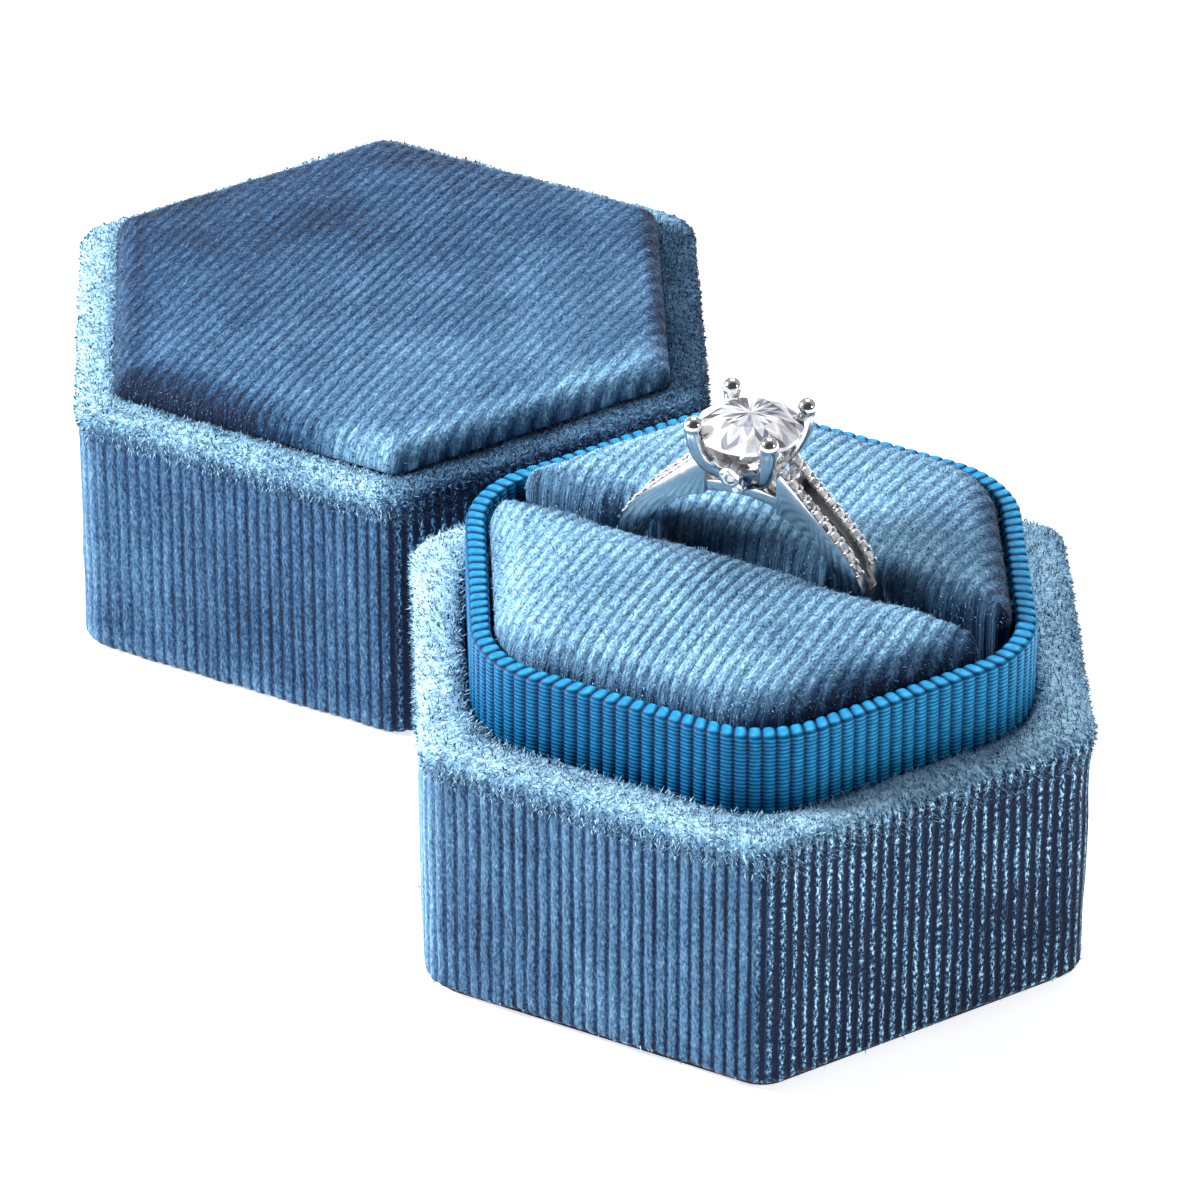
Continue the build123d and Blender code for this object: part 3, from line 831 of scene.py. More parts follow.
# ---- Cushions ------------------------------------------------------------------------------------------------
@dataclass
class Pad:
    """A crowned pad with wales along Y, on a plan with rounded corners; sizes in millimetres."""

    name: str
    plan: list[tuple[float, float]]
    centre: tuple[float, float]
    corner: float
    low: float
    shoulder: float
    rounding: float
    crown: float
    crown_run: float
    tone_and_light: Callable[[float, float, float], float]
    slot_edge: float | None = None
    pitch: float = 0.9
    depth: float = 0.13
    columns: int = RIB_COLUMNS
    rows: int = 64
    values: Paint = field(default_factory=dict)
    _edges: list[tuple[Vector, Vector, Vector]] = field(init=False, default_factory=list)
    _corners: list[Vector] = field(init=False, default_factory=list)

    def edges(self, inset: float) -> list[tuple[Vector, Vector, Vector]]:
        """Moves the plan's edges in.

        Args:
            inset: how far.
        Returns:
            Start, direction and inward normal of each edge.
        """
        found = []
        for n, first in enumerate(self.plan):
            second = self.plan[(n + 1) % len(self.plan)]
            way = (Vector(second) - Vector(first)).normalized()
            inward = Vector((-way.y, way.x))
            found.append((Vector(first) + inward * inset, way, inward))
        return found

    def corners(self) -> list[Vector]:
        """Finds the centres of the plan's corner arcs.

        Returns:
            The centres.
        """
        moved = self.edges(self.corner)
        found = []
        for n, (start, way, _) in enumerate(moved):
            before, before_way, _ = moved[n - 1]
            cross = before_way.x * way.y - before_way.y * way.x
            gap = start - before
            along = (gap.x * way.y - gap.y * way.x) / cross
            found.append(before + before_way * along)
        return found

    def inside(self, x: float, y: float) -> float:
        """How far a point lies inside the rounded plan.

        Args:
            x: the point's place.
            y: the point's place.
        Returns:
            The distance to the outline, negative outside.
        """
        point = Vector((x, y))
        depth = min((point - start).dot(inward) for start, _, inward in self._edges)
        if depth >= self.corner:
            return depth
        nearest = 1e9
        count = len(self._corners)
        for n in range(count):
            first, second = self._corners[n], self._corners[(n + 1) % count]
            run = second - first
            share = min(max((point - first).dot(run) / run.length_squared, 0.0), 1.0)
            nearest = min(nearest, (point - first - run * share).length)
        return self.corner - nearest

    def reach(self, x: float, start: float, way: float) -> float:
        """Follows a column of the grid to the edge of the plan.

        Args:
            x: the column's place.
            start: where on it to start.
            way: 1 or -1.
        Returns:
            Where the column leaves the plan.
        """
        near, far = 0.0, 60.0
        for _ in range(26):
            middle = (near + far) / 2
            if self.inside(x, start + way * middle) > 0:
                near = middle
            else:
                far = middle
        return start + way * near

    def top(self, x: float, y: float) -> float:
        """Height of the pad's top, with no ribs.

        Args:
            x: the point's place.
            y: the point's place.
        Returns:
            The height.
        """
        inside = max(self.inside(x, y), 0.0)
        if self.slot_edge is None:
            rim = inside
        else:
            share = min(max((inside - abs(y) + self.slot_edge + 0.35) / 0.7, 0.0), 1.0)
            outer = min((Vector((x, y)) - start).dot(inward) for start, _, inward in self._edges[:-1])
            inside = min(inside * 2.1, max(outer, inside))
            rim = inside * (0.8 + 0.2 * share)
        edge = 1 - min(rim / self.rounding, 1.0)
        swell = 1 - min(rim / self.crown_run, 1.0)
        return self.shoulder + self.rounding * math.sqrt(1 - edge ** 2) + self.crown * (1 - swell ** 2)

    def pinch(self, x: float, y: float) -> float:
        """How far the lip swells into the slot: less beside the ring's legs, none away from the slot.

        Args:
            x: the point's place.
            y: the point's place.
        Returns:
            The move along Y.
        """
        if self.slot_edge is None:
            return 0.0
        clear = max(min((abs(x) - 5.2) / 1.2, 1.0) - max(min((abs(x) - 10.6) / 1.6, 1.0), 0.0), 0.0)
        fade = max(1 - (abs(y) - self.slot_edge) / 3.0, 0.0)
        end = max(min((17.0 - abs(x)) / 3.0, 1.0), 0.0)
        return -math.copysign(0.62 * (1 - clear) * fade * fade * end, y)

    def build(self) -> bpy.types.Object:
        """Builds the pad from a grid whose columns follow the wales.

        Returns:
            The new object.
        """
        self._edges = self.edges(0.0)
        self._corners = self.corners()
        right = max(point[0] for point in self.plan)
        low_y, high_y = min(point[1] for point in self.plan), max(point[1] for point in self.plan)
        ys = [low_y + n * (high_y - low_y) / 60 for n in range(61)]
        low_x, high_x = 0.0, right
        for _ in range(24):
            middle = (low_x + high_x) / 2
            if max(self.inside(middle, y) for y in ys) > 0.01:
                low_x = middle
            else:
                high_x = middle
        edge_x = low_x
        count = 2 * int(edge_x / self.pitch * self.columns) + 1
        grid: dict[tuple[int, int], Vector] = {}
        centre = Vector((self.centre[0], self.centre[1], 0.0))
        for i in range(count):
            x = -edge_x + 2 * edge_x * i / (count - 1)
            middle = max(ys, key=lambda y: self.inside(x, y))
            y0, y1 = self.reach(x, middle, -1), self.reach(x, middle, 1)
            height = wale_height(x / self.pitch)
            for j in range(self.rows):
                if j in (0, self.rows - 1):
                    y, z, inside = (y0 if j == 0 else y1), self.low, 0.0
                else:
                    share = 0.5 - 0.5 * math.cos(math.pi * (j - 1) / (self.rows - 3))
                    y = y0 + (y1 - y0) * share
                    inside = max(self.inside(x, y), 0.0)
                    z = self.top(x, y)
                place = Vector((x, y, z)) * MM
                puff = 0.10 * soft(place, 3.2) + 0.05 * soft(place, 0.7, 2.0)
                z += (self.depth * (height - 1) + puff) * min(inside / 0.6, 1.0)
                place = Vector((x, y + self.pinch(x, y), z)) * MM + centre
                grid[i, j] = place
                # how pale the velvet is here: the pad's painted light and shade, and random tone
                tone_and_light = self.tone_and_light(x, y, inside) + 0.06 * soft(place, 4.0, 5.0)
                self.values[tuple(place)] = (height, tone_and_light, x / self.pitch, y / self.pitch)
        pick()
        bpy.ops.mesh.primitive_grid_add(x_subdivisions=count - 1, y_subdivisions=self.rows - 1, size=1.0)
        obj = bpy.context.object
        obj.name = self.name
        bpy.ops.object.mode_set(mode="EDIT")
        mesh = bmesh.from_edit_mesh(obj.data)
        for vertex in mesh.verts:
            i = round((vertex.co.x + 0.5) * (count - 1))
            j = round((vertex.co.y + 0.5) * (self.rows - 1))
            vertex.co = grid[i, j]
        select_open_edges(obj)
        bpy.ops.mesh.edge_face_add()
        close_up()
        paint(obj, self.values)
        return obj


# ---- Base ----------------------------------------------------------------------------------------------------
@dataclass
class Base:
    """The base's velvet, ribbon and cushions."""

    half: float = 22.5
    height: float = 20.0
    corner: float = 3.0
    collar_half: float = 19.1
    collar_corner: float = 8.0
    cushion_half: float = 17.38
    slot: float = 3.1
    velvet: Velvet = Velvet("ribbed_velvet", Shade.WALL)
    velvet_top: Velvet = Velvet("cushion_velvet", Shade.TOP, glint_shade_weight=0.25, groove_shade=0.36)
    ribbon: Grosgrain = Grosgrain()

    def wrap(self) -> bpy.types.Object:
        """Builds the velvet over the wall, its plump rim and the turned-in edges.

        Returns:
            The velvet.
        """
        h, c, top = self.half, self.corner, self.height
        profile = [Station(h - 8, 2.4, 0.52, 0.2, False), Station(h - 1.0, c, 0.52, 0.25, False)]
        profile += arc(h - 0.8, 1.35, 0.75, -80, -10, 4, c, 0.28, 0.32)
        profile += [Station(h - 0.04, c, z, 0.33) for z in (2.6, 5.0, 7.5, 10.0, 12.5, 15.0, 16.8, 17.6)]
        profile += [Station(h + 0.06, c, 18.5, 0.40, True, 0.8)]
        # painted sheen: the rim is painted paler as it turns over the top
        profile += arc(h - 0.85, top - 0.95, 1.06, 0, 80, 6, c, 0.47, 0.72)
        profile += [Station(h - 1.7, c + 1.4, top + 0.16, 0.72, True, 0.15)]
        profile += [Station(h - 2.5, c + 3.2, top + 0.1, 0.68, True, 0.15)]
        inner = self.collar_half + 0.12
        # painted shade: darker going down into the gap by the collar
        profile += arc(inner + 0.55, top - 0.55, -0.55, -90, 0, 4, self.collar_corner, 0.6, 0.2)
        profile += [Station(inner, self.collar_corner, top - 3.0, 0.1), Station(inner, self.collar_corner, 13.5, 0.1)]
        back = self.collar_half + 0.46
        profile += [Station(back, self.collar_corner + 0.4, 13.5, 0.1, False)]
        profile += [Station(back, self.collar_corner + 0.4, top - 0.7, 0.1, False)]
        profile += [Station(h - 0.62, c, top - 0.7, 0.1, False), Station(h - 0.62, c, 1.08, 0.1, False)]
        profile += [Station(h - 8, 2.4, 1.08, 0.1, False)]
        wall = RibbedWall("base_velvet_cover", (0.0, 0.0), profile, wander=0.14, fuzz=0.07)
        obj = wall.build()
        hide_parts("base_velvet_wrap")
        return finish_piece(obj, "base", self.velvet.material())

    def collar(self) -> bpy.types.Object:
        """Builds the ribbon round the collar, folded over its top edge.

        Returns:
            The ribbon.
        """
        half, corner, top = self.collar_half - 0.02, self.collar_corner, 25.6
        profile = [Station(half, corner, z) for z in (13.62, 16.0, 19.0, 22.0, 24.0, 24.8)]
        profile += arc(half - 0.42, top - 0.42, 0.42, 15, 90, 4, corner, 0.4)
        inner = 17.63
        profile += [Station(18.3, corner - 0.8, top + 0.01)]
        profile += arc(inner + 0.3, top - 0.32, -0.3, -90, 0, 3, corner - 1.4, 0.4)
        profile += [Station(inner, corner - 1.45, 22.15)]
        profile += [Station(17.93, corner - 1.2, 22.15, 0.1, False), Station(17.93, corner - 1.2, 25.2, 0.1, False)]
        profile += [Station(18.72, corner - 0.38, 25.2, 0.1, False)]
        profile += [Station(18.72, corner - 0.38, 13.62, 0.1, False)]
        wall = RibbedWall("collar_ribbon_cover", (0.0, 0.0), profile, pitch=0.97, depth=0.15, wander=0.02)
        obj = wall.build()
        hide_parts("collar_ribbon")
        return finish_piece(obj, "base", self.ribbon.material())

    def cushion(self, side: str, turn: int) -> bpy.types.Object:
        """One cushion half.

        Args:
            side: front or back.
            turn: -1 for the front, 1 for the back.
        Returns:
            The cushion.
        """
        half, lip, corner = self.cushion_half, self.slot / 2 + 0.12, 6.4
        start = math.asin(lip / (hexagon_reach(half, corner, 0.0) - 0.15))
        turns = [-math.pi + start, -start]
        for way in (-120, -60):
            turns += [math.radians(way + off) for off in (-8, -4, 0, 4, 8)]
        turns += [math.radians(way) for way in (-170, -166, -14, -10)]
        outline = [(math.cos(turn), math.sin(turn), hexagon_reach(half, corner, turn)) for turn in sorted(turns)]
        plan = [(reach * x, reach * y) for x, y, reach in outline]
        if turn > 0:
            plan = [(-x, -y) for x, y in plan]
        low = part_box(f"cushion_{side}_card")[1].z / MM

        def tone_and_light(x: float, y: float, inside: float) -> float:
            """Paler towards the middle, with painted shade down the sides; the back cushion a little paler."""
            # painted shade within 1.6 mm of the edges
            return 0.27 + 0.26 * min(inside / 1.6, 1.0) - (-0.03 if turn > 0 else 0.0)

        pad = Pad(f"cushion_{side}", plan, (0.0, 0.0), 0.9, low, 25.1, 1.9, 1.25, 7.5, tone_and_light, lip)
        obj = pad.build()
        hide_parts(f"cushion_{side}_velvet", f"cushion_{side}_foam")
        return finish_piece(obj, "base", self.velvet_top.material())

    def pile(self, skin: bpy.types.Object) -> None:
        """Adds loose fibres on the rim and round the lower edge.

        Args:
            skin: the wall's velvet.
        """
        def rim(place: Vector, normal: Vector) -> float:
            """The share of fibres at a place.

            Args:
                place: the place on the skin.
                normal: its normal.
            Returns:
                All on the rim, a few at the foot, none elsewhere.
            """
            inner = math.hypot(place.x, place.y) > 0.0196
            if place.z > 0.0178 and inner:
                return 1.0
            return 0.25 if place.z < 0.0019 and normal.z > -0.5 and normal.xy.length > 0.6 and inner else 0.0

        fringe = Pile("base_rim_pile", 42000, 0.52, 0.10, 0.74, 11).build(skin, rim)
        finish_piece(fringe, "base", skin.data.materials[0])

    def cushion_pile(self, skin: bpy.types.Object, seed: int) -> None:
        """Adds loose fibres on a cushion's top.

        Args:
            skin: the cushion.
            seed: starts the random draws.
        """
        def over(place: Vector, normal: Vector) -> float:
            """Only the upper part."""
            return 1.0 if place.z > 0.0253 and normal.z > 0.05 else 0.0

        fringe = Pile(f"{skin.name}_pile", 16000, 0.30, 0.07, 0.52, seed).build(skin, over)
        finish_piece(fringe, "base", skin.data.materials[0])

    def build(self) -> None:
        """Builds and dresses the base."""
        skin = self.wrap()
        self.pile(skin)
        self.collar()
        for n, (side, turn) in enumerate((("front", -1), ("back", 1))):
            self.cushion_pile(self.cushion(side, turn), 20 + n)


# ---- Lid -----------------------------------------------------------------------------------------------------
@dataclass
class Lid:
    """The lid's velvet and its padded top, standing beside the base."""

    half: float = 22.5
    height: float = 20.0
    corner: float = 3.0
    inner: float = 19.5
    inner_corner: float = 8.4
    velvet: Velvet = Velvet("lid_ribbed_velvet", Shade.WALL, groove_shade=0.17)
    velvet_top: Velvet = Velvet("lid_pad_velvet", Shade.TOP, glint_shade_weight=0.25)
    centre: tuple[float, float] = field(init=False)

    def __post_init__(self) -> None:
        """Finds the lid's centre on the table, in metres."""
        low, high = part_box("lid_velvet_wrap")
        self.centre = ((low.x + high.x) / 2, (low.y + high.y) / 2)

    def painted_shade(self, place: Vector) -> float:
        """How much painted shade darkens the border at a place: along the right, which faces away from the key light.

        Args:
            place: the place on the lid.
        Returns:
            The painted shade, as a change of how pale it is.
        """
        x, y = self.centre
        turn = math.atan2(place.y - y, place.x - x)
        right = min(max((math.cos(turn) - 0.44) / 0.14, 0.0), 1.0)
        rim = min(max((place.z / MM - 17.4) / 1.2, 0.0), 1.0)
        # painted shade on the right of the border, which faces away from the key light
        return -0.40 * right * rim

    def wrap(self) -> bpy.types.Object:
        """Builds the velvet over the wall, its border on top and the turned-in edge.

        Returns:
            The velvet.
        """
        h, c, top = self.half, self.corner, self.height
        inner, inner_corner = self.inner, self.inner_corner
        profile = [Station(inner, inner_corner, z, 0.15) for z in (7.5, 4.0, 1.4)]
        profile += arc(inner + 1.0, 1.0, -1.0, 0, 90, 4, inner_corner - 1, 0.2)
        profile += arc(h - 1.0, 1.0, 1.0, -90, 0, 5, c, 0.26, 0.33)
        profile += [Station(h - 0.04, c, z, 0.22) for z in (2.6, 5.0, 7.5, 10.0, 12.5, 15.0, 17.0, 18.0)]
        # painted sheen: the border is painted paler as it turns over the top
        profile += arc(h - 0.85, top - 0.95, 0.98, 10, 85, 6, c, 0.50, 0.66)
        profile += [Station(h - 1.7, c - 0.4, top + 0.14, 0.64, True, 0.15)]
        profile += [Station(h - 2.4, c - 0.9, top + 0.18, 0.52, True, 0.2)]
        # painted shade in the crease where the border meets the pad
        profile += [Station(h - 2.9, c - 1.2, top + 0.05, 0.20), Station(18.4, 1.4, top - 0.05, 0.1, False)]
        profile += [Station(18.4, 1.4, top - 0.56, 0.1, False), Station(h - 0.62, c - 0.6, top - 0.58, 0.1, False)]
        profile += [Station(h - 0.62, c - 0.6, 0.62, 0.1, False)]
        profile += [Station(inner + 0.37, inner_corner + 0.3, 0.62, 0.1, False)]
        profile += [Station(inner + 0.37, inner_corner + 0.3, 7.5, 0.1, False)]
        wall = RibbedWall("lid_velvet_cover", self.centre, profile, depth=0.085, wander=0.12, fuzz=0.05,
                          painted_shade=self.painted_shade)
        obj = wall.build()
        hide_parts("lid_velvet_wrap")
        return finish_piece(obj, "lid", self.velvet.material())

    def pad(self) -> bpy.types.Object:
        """Builds the padded top.

        Returns:
            The pad.
        """
        half = 19.85
        reach = half / math.cos(math.radians(30))
        plan = [(reach * math.cos(math.radians(60 * n)), reach * math.sin(math.radians(60 * n))) for n in range(6)]

        def tone_and_light(x: float, y: float, inside: float) -> float:
            """Painted light and shade on the rolled edge: painted sheen at the right and lower right, painted shade
            along the left and at the front; the whole top a little paler to the right.

            Args:
                x: the point's place.
                y: the point's place.
                inside: its distance to the pad's edge.
            Returns:
                How pale the pile is there.
            """
            right = x * 0.87 - y * 0.5
            left = -x * 0.87 - y * 0.5
            edge = 1 - min(inside / 3.2, 1.0)
            pale = edge * max(min((right - 13.5) / 3.5, 1.0), 0.0)
            dark = edge * max(min((left - 5.0) / 6.0, 1.0), 0.0)
            low = edge * max(min((-y - 12.5) / 4.0, 1.0), 0.0) * max(min((8.0 - x) / 9.0, 1.0), 0.0)
            # painted sheen on the right edge, painted shade along the left and at the front
            return 0.17 + 0.009 * right + 0.26 * pale - 0.20 * dark - 0.16 * low

        pad = Pad("lid_pad", plan, self.centre, 1.3, 20.32, 20.40, 1.55, 0.65, 9.0, tone_and_light, depth=0.09, rows=110)
        obj = pad.build()
        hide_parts("lid_pad_velvet", "lid_pad_foam")
        return finish_piece(obj, "lid", self.velvet_top.material())

    def build(self) -> None:
        """Builds and dresses the lid."""
        skin = self.wrap()
        x, y = self.centre

        def border(place: Vector, normal: Vector) -> float:
            """Only the border round the pad and the top edge."""
            outside = (place.xy - Vector((x, y))).length > 0.0196
            return 1.0 if place.z > 0.0184 and normal.z > -0.3 and outside else 0.0

        fringe = Pile("lid_border_pile", 36000, 0.45, 0.10, 0.66, 31, self.painted_shade).build(skin, border)
        finish_piece(fringe, "lid", skin.data.materials[0])
        cover = self.pad()

        def over(place: Vector, normal: Vector) -> float:
            """The pad's edge most of all."""
            return 1.0 if 0.2 < normal.z < 0.8 else 0.25 * (normal.z > 0)

        tufts = Pile("lid_pad_pile", 14000, 0.30, 0.07, 0.32, 32).build(cover, over)
        finish_piece(tufts, "lid", cover.data.materials[0])


# ---- Ring ----------------------------------------------------------------------------------------------------
@dataclass
class CutStone:
    """A round brilliant over a faceted pavilion: its radius in millimetres, and the rest as shares of that."""

    radius: float
    table: float = 0.56
    crown: float = 0.31
    girdle: float = 0.04
    pavilion: float = 0.86
    sides: int = 8

    def build(self, name: str) -> bpy.types.Object:
        """Builds the stone about the origin with its girdle at height 0.

        Args:
            name: the piece's name.
        Returns:
            The new object.
        """
        pick()
        bpy.ops.mesh.primitive_circle_add(vertices=self.sides, radius=self.table * self.radius * MM,
                                          location=(0, 0, self.crown * self.radius * MM))
        obj = bpy.context.object
        obj.name = name
        bpy.ops.object.transform_apply(location=True, rotation=True, scale=True)
        bpy.ops.object.mode_set(mode="EDIT")
        mesh = bmesh.from_edit_mesh(obj.data)
        half, unit = math.pi / self.sides, self.radius * MM
        steps = [(0.80, self.crown * 0.62, self.sides, 1), (1.0, self.girdle, 2 * self.sides, 0),
                 (1.0, -self.girdle, 2 * self.sides, 0), (0.42, -self.pavilion * 0.66, self.sides, 1),
                 (0.0, -self.pavilion, 1, 0)]
        for reach, height, count, odd in steps:
            for n in range(count):
                turn = math.tau * n / count + odd * half
                mesh.verts.new(Vector((reach * math.sin(turn), reach * math.cos(turn), height)) * unit)
        bmesh.update_edit_mesh(obj.data)
        bpy.ops.mesh.select_all(action="SELECT")
        bpy.ops.mesh.convex_hull()
        close_up()
        return obj


@dataclass
class Ring:
    """The ring's metal and its cut stones."""

    metal: WhiteMetal = WhiteMetal()
    gem: Gem = Gem()
    center: CenterGem = CenterGem()
    _metal: bpy.types.Material | None = field(init=False, default=None)
    _gem: bpy.types.Material | None = field(init=False, default=None)

    @staticmethod
    def islands(node: str) -> list[tuple[Vector, float, Vector]]:
        """Finds the loose parts of a CAD node.

        Args:
            node: the node.
        Returns:
            Centre, radius and outward way of each part, in metres.
        """
        mesh = bmesh.new()
        mesh.from_mesh(frame["nodes"][node].data)
        bmesh.ops.remove_doubles(mesh, verts=mesh.verts, dist=1e-7)
        left, found = set(mesh.verts), []
        while left:
            stack, part = [left.pop()], []
            while stack:
                vertex = stack.pop()
                part.append(vertex)
                for edge in vertex.link_edges:
                    other = edge.other_vert(vertex)
                    if other in left:
                        left.remove(other)
                        stack.append(other)
            faces = {face for vertex in part for face in vertex.link_faces}
            normals: dict[tuple, float] = {}
            for face in faces:
                key = tuple(round(c, 2) for c in face.normal)
                normals[key] = normals.get(key, 0.0) + face.calc_area()
            way = Vector(max(sorted(normals), key=lambda key: normals[key])).normalized()
            places = sorted((vertex.co for vertex in part), key=tuple)
            centre = sum(places, Vector()) / len(places)
            along = [(place - centre).dot(way) for place in places]
            reach = max((place - centre - way * a).length for place, a in zip(places, along))
            found.append((centre, reach, way))
        mesh.free()
        return sorted(found, key=lambda item: tuple(item[0]))

    def set_stones(self, name: str, node: str, sides: int) -> bpy.types.Object:
        """Cut stones in the places of a group of plain ones.

        Args:
            name: the new piece's name.
            node: the CAD group.
            sides: facets round each table.
        Returns:
            The group of stones.
        """
        pattern = CutStone(1.0, sides=sides).build(f"{name}_pattern")
        copies = []
        for centre, reach, way in self.islands(node):
            turn = way.to_track_quat("Z", "Y").to_matrix().to_4x4()
            place = Matrix.Translation(centre + way * 0.05 * MM)
            copies.append(stamped(pattern, place @ turn @ Matrix.Scale(reach / MM, 4)))
        group = joined(name, copies, pattern)
        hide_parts(node)
        self.dress(group, "stone", self._gem)
        return group

    def dress(self, obj: bpy.types.Object, slot: str, material: bpy.types.Material) -> None:
        """Gives a ring piece flat facets and its finish.

        Args:
            obj: the piece.
            slot: not used.
            material: its finish.
        """
        finish_piece(obj, "ring", material)
        bpy.ops.object.shade_flat()

    def rounded_casting(self, name: str, node: str, width: float, smooth: float = 40.0) -> bpy.types.Object:
        """A copy of a CAD casting with its sharp edges polished round.

        Args:
            name: the new piece's name.
            node: the CAD node.
            width: how far the edges are taken back, in millimetres.
            smooth: edges flatter than this many degrees are shaded smooth.
        Returns:
            The casting.
        """
        copy = bpy.data.objects.new(name, frame["nodes"][node].data.copy())
        bpy.context.collection.objects.link(copy)
        pick(copy)
        bpy.ops.object.mode_set(mode="EDIT")
        bpy.ops.mesh.select_all(action="SELECT")
        bpy.ops.mesh.remove_doubles(threshold=1e-6)
        bpy.ops.mesh.dissolve_limited(angle_limit=math.radians(1.0))
        bpy.ops.object.mode_set(mode="OBJECT")
        bevel = copy.modifiers.new("polish", "BEVEL")
        bevel.width = width * MM
        bevel.segments = 2
        bevel.limit_method = "ANGLE"
        bevel.angle_limit = math.radians(32)
        bevel.use_clamp_overlap = True
        bpy.ops.object.modifier_apply(modifier="polish")
        bpy.ops.object.shade_smooth_by_angle(angle=math.radians(smooth))
        copy.data.materials.clear()
        copy.data.materials.append(self._metal)
        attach(copy, "ring")
        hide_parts(node)
        return copy

    def beads(self) -> bpy.types.Object:
        """Adds the grains of metal that hold the small stones, four round each.

        Returns:
            The grains, as one piece.
        """
        pick()
        bpy.ops.mesh.primitive_ico_sphere_add(subdivisions=2, radius=0.15 * MM)
        pattern = bpy.context.object
        copies = []
        for centre, reach, way in self.islands("ring_pave_stones"):
            along = Vector((0, 1, 0)).cross(way).normalized()
            for side, step in ((1, 1), (-1, 1), (1, -1), (-1, -1)):
                place = centre + Vector((0, side, 0)) * reach * 0.80 + along * step * reach * 0.95 + way * 0.06 * MM
                copies.append(stamped(pattern, Matrix.Translation(place)))
        return finish_piece(joined("pave_beads", copies, pattern), "ring", self._metal)

    def build(self) -> None:
        """Builds the stones and dresses the metal."""
        self._metal = self.metal.material()
        self.rounded_casting("polished_shank", "ring_shank", 0.22)
        self.rounded_casting("polished_head", "ring_head", 0.04, 55.0)
        self.beads()
        self._gem = self.gem.material()
        low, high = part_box("ring_center_stone")
        cut = CutStone((high.x - low.x) / 2 / MM)
        stone = cut.build("center_brilliant")
        girdle = high.z - cut.crown * cut.radius * MM
        stone.data.transform(Matrix.Translation(((low.x + high.x) / 2, (low.y + high.y) / 2, girdle)))
        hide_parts("ring_center_stone")
        self.dress(stone, "stone", self.center.material())
        groups = (("pave_row", "pave", 6), ("bezel_cut", "bezel", 8), ("shoulder_cut", "shoulder", 8))
        for name, kind, sides in groups:
            self.set_stones(f"{name}_stones", f"ring_{kind}_stones", sides)


# ---- Other CAD pieces ----------------------------------------------------------------------------------------
@dataclass
class HiddenPieces:
    """Finishes of the pieces that keep their CAD shape."""

    def dress(self) -> None:
        """Gives each kept CAD node its finish."""
        finishes = {
            "board": Stuff("grey_board", (0.30, 0.28, 0.25), (0.48, 0.45, 0.41), 1400.0, 0.00005),
            "lining_paper": Stuff("lining_paper", (0.012, 0.045, 0.10), (0.022, 0.07, 0.15), 2000.0, 0.00002),
            "foam": Stuff("open_foam", (0.42, 0.43, 0.45), (0.70, 0.71, 0.73), 1800.0, 0.0002),
            "felt": Stuff("thin_felt", (0.008, 0.016, 0.04), (0.02, 0.035, 0.075), 3500.0, 0.0001),
            "white_metal": WhiteMetal(), "stone": Gem(),
        }
        kinds = {slot: finish.material() for slot, finish in finishes.items()}
        spare = Velvet("spare_velvet", Shade.WALL).material()
        for entry in frame["record"]["subparts"]:
            obj = frame["nodes"][entry["node"]]
            material = kinds.get(entry["material_slot"], spare)
            obj.data.materials.clear()
            obj.data.materials.append(material)
            log.info("%s: dressed as %s", entry["node"], material.name)


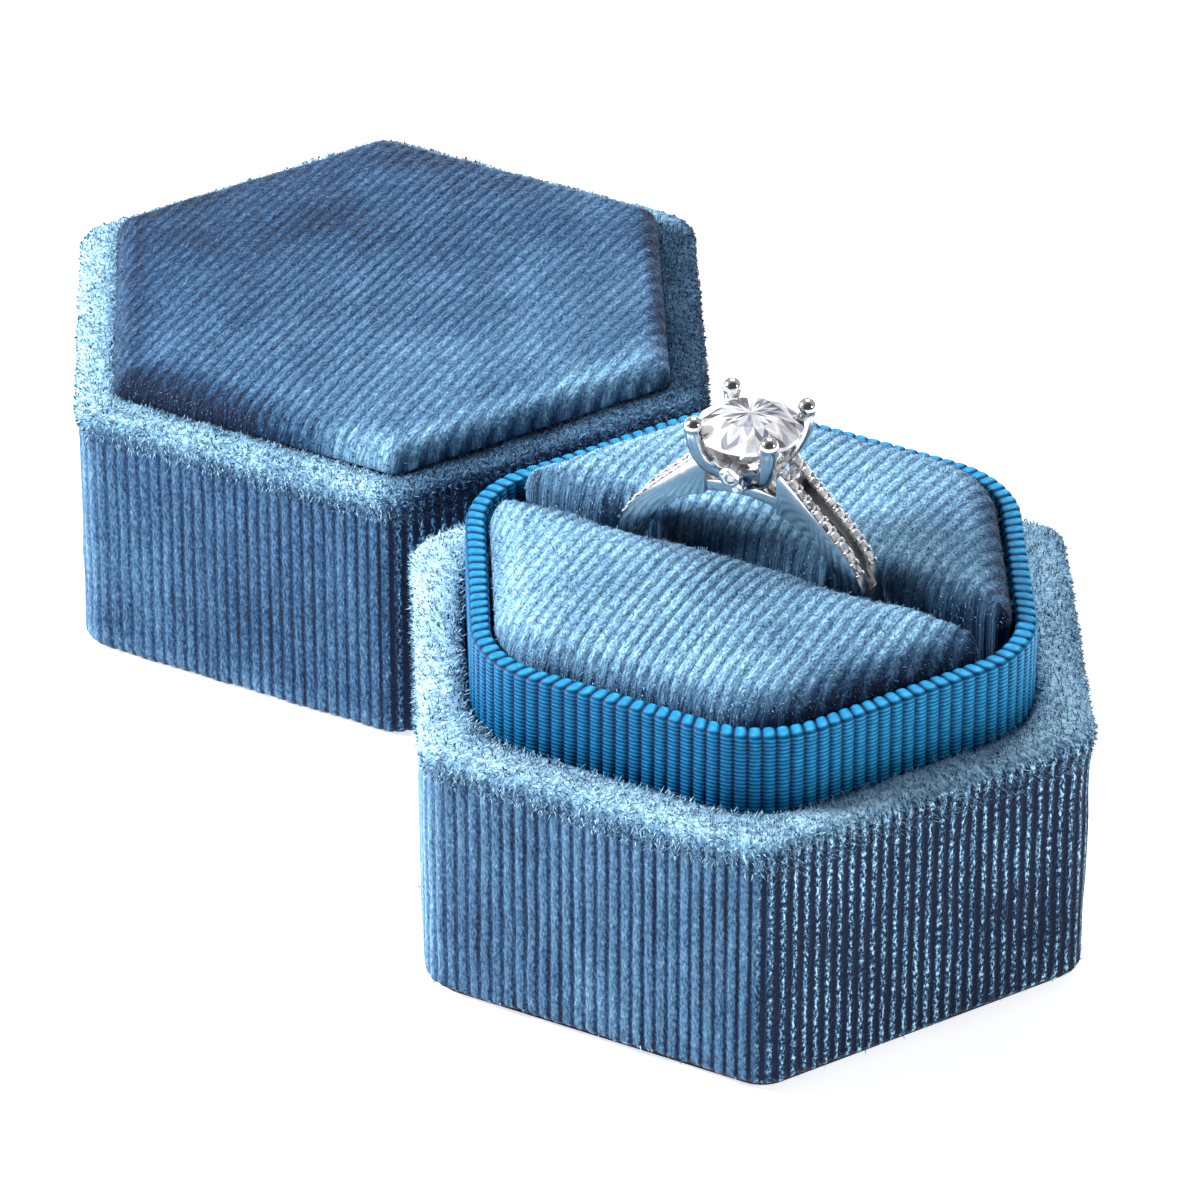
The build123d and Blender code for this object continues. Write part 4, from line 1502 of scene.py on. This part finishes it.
# ---- Stage ---------------------------------------------------------------------------------------------------
@dataclass
class Studio:
    """Pale floor, soft lights and the camera; lengths in metres."""

    aim: tuple[float, float, float] = (-0.0268, 0.0275, 0.0)
    azimuth: float = 27.97
    elevation: float = 32.81
    distance: float = 0.600
    lens: float = 250.35

    def camera(self) -> None:
        """Adds the camera."""
        turn, rise = math.radians(self.azimuth), math.radians(self.elevation)
        way = Vector((math.sin(turn) * math.cos(rise), -math.cos(turn) * math.cos(rise), math.sin(rise)))
        bpy.ops.object.camera_add(location=Vector(self.aim) + way * self.distance)
        camera = bpy.context.object
        camera.rotation_euler = way.to_track_quat("Z", "Y").to_euler()
        camera.data.lens = self.lens
        camera.data.sensor_width = 36.0
        camera.data.clip_start = 0.01
        bpy.context.scene.camera = camera

    def light(self, name: str, way: tuple, size: float, energy: float, tint: tuple = (1.0, 1.0, 1.0)) -> None:
        """Adds a soft light that faces the box.

        Args:
            name: the light's name.
            way: where it stands, seen from the box, in metres.
            size: its side.
            energy: its power in watts.
            tint: its colour.
        """
        centre = Vector((-0.02, 0.012, 0.015))
        bpy.ops.object.light_add(type="AREA", location=centre + Vector(way))
        light = bpy.context.object
        light.name = name
        light.data.size = size
        light.data.energy = energy
        light.data.color = tint
        light.rotation_euler = Vector(way).to_track_quat("Z", "Y").to_euler()

    def sky(self, tree: bpy.types.NodeTree) -> None:
        """Paints a pale room, dark at the front so that polished metal has something dark to mirror.

        Args:
            tree: the world's nodes.
        """
        turn = math.radians(self.azimuth + 12)
        place = tree.nodes.new("ShaderNodeTexCoord")
        facing = tree.nodes.new("ShaderNodeVectorMath")
        facing.operation = "DOT_PRODUCT"
        facing.inputs[1].default_value = (math.sin(turn) * 0.9, -math.cos(turn) * 0.9, 0.43)
        ramp = tree.nodes.new("ShaderNodeValToRGB")
        NodeShop._ramp(ramp.color_ramp, [(0.30, (0.55, 0.55, 0.56)), (0.64, (0.09, 0.09, 0.095))])
        tree.links.new(place.outputs["Generated"], facing.inputs[0])
        tree.links.new(facing.outputs["Value"], ramp.inputs["Fac"])
        tree.links.new(ramp.outputs["Color"], tree.nodes["Background"].inputs["Color"])
        tree.nodes["Background"].inputs["Strength"].default_value = 1.0

    def build(self) -> None:
        """Builds the studio."""
        pick()
        bpy.ops.mesh.primitive_circle_add(vertices=64, radius=1.5, fill_type="NGON")
        floor = bpy.context.object
        floor.name = "studio_floor"
        shop = NodeShop("pale_floor")
        white = (1.0, 1.0, 1.0, 1.0)
        floor.data.materials.append(shop.principled(
            Base_Color=(0.95, 0.95, 0.95, 1.0), Roughness=1.0, Emission_Color=white, Emission_Strength=0.70))
        world = bpy.data.worlds.new("studio_sky")
        world.use_nodes = True
        self.sky(world.node_tree)
        bpy.context.scene.world = world
        bpy.context.scene.view_settings.view_transform = "Standard"
        self.light("key_left", (-0.46, -0.20, 0.32), 0.16, 8.5)
        self.light("top_back", (-0.12, 0.30, 0.48), 0.26, 3.0)
        self.light("edge_right", (0.50, 0.02, 0.22), 0.10, 0.8)
        self.camera()


def main() -> None:
    """Builds the whole scene."""
    logging.basicConfig(level=logging.INFO, format="%(message)s")
    Studio().build()
    HiddenPieces().dress()
    Base().build()
    Lid().build()
    Ring().build()


if __name__ == "__main__":
    main()
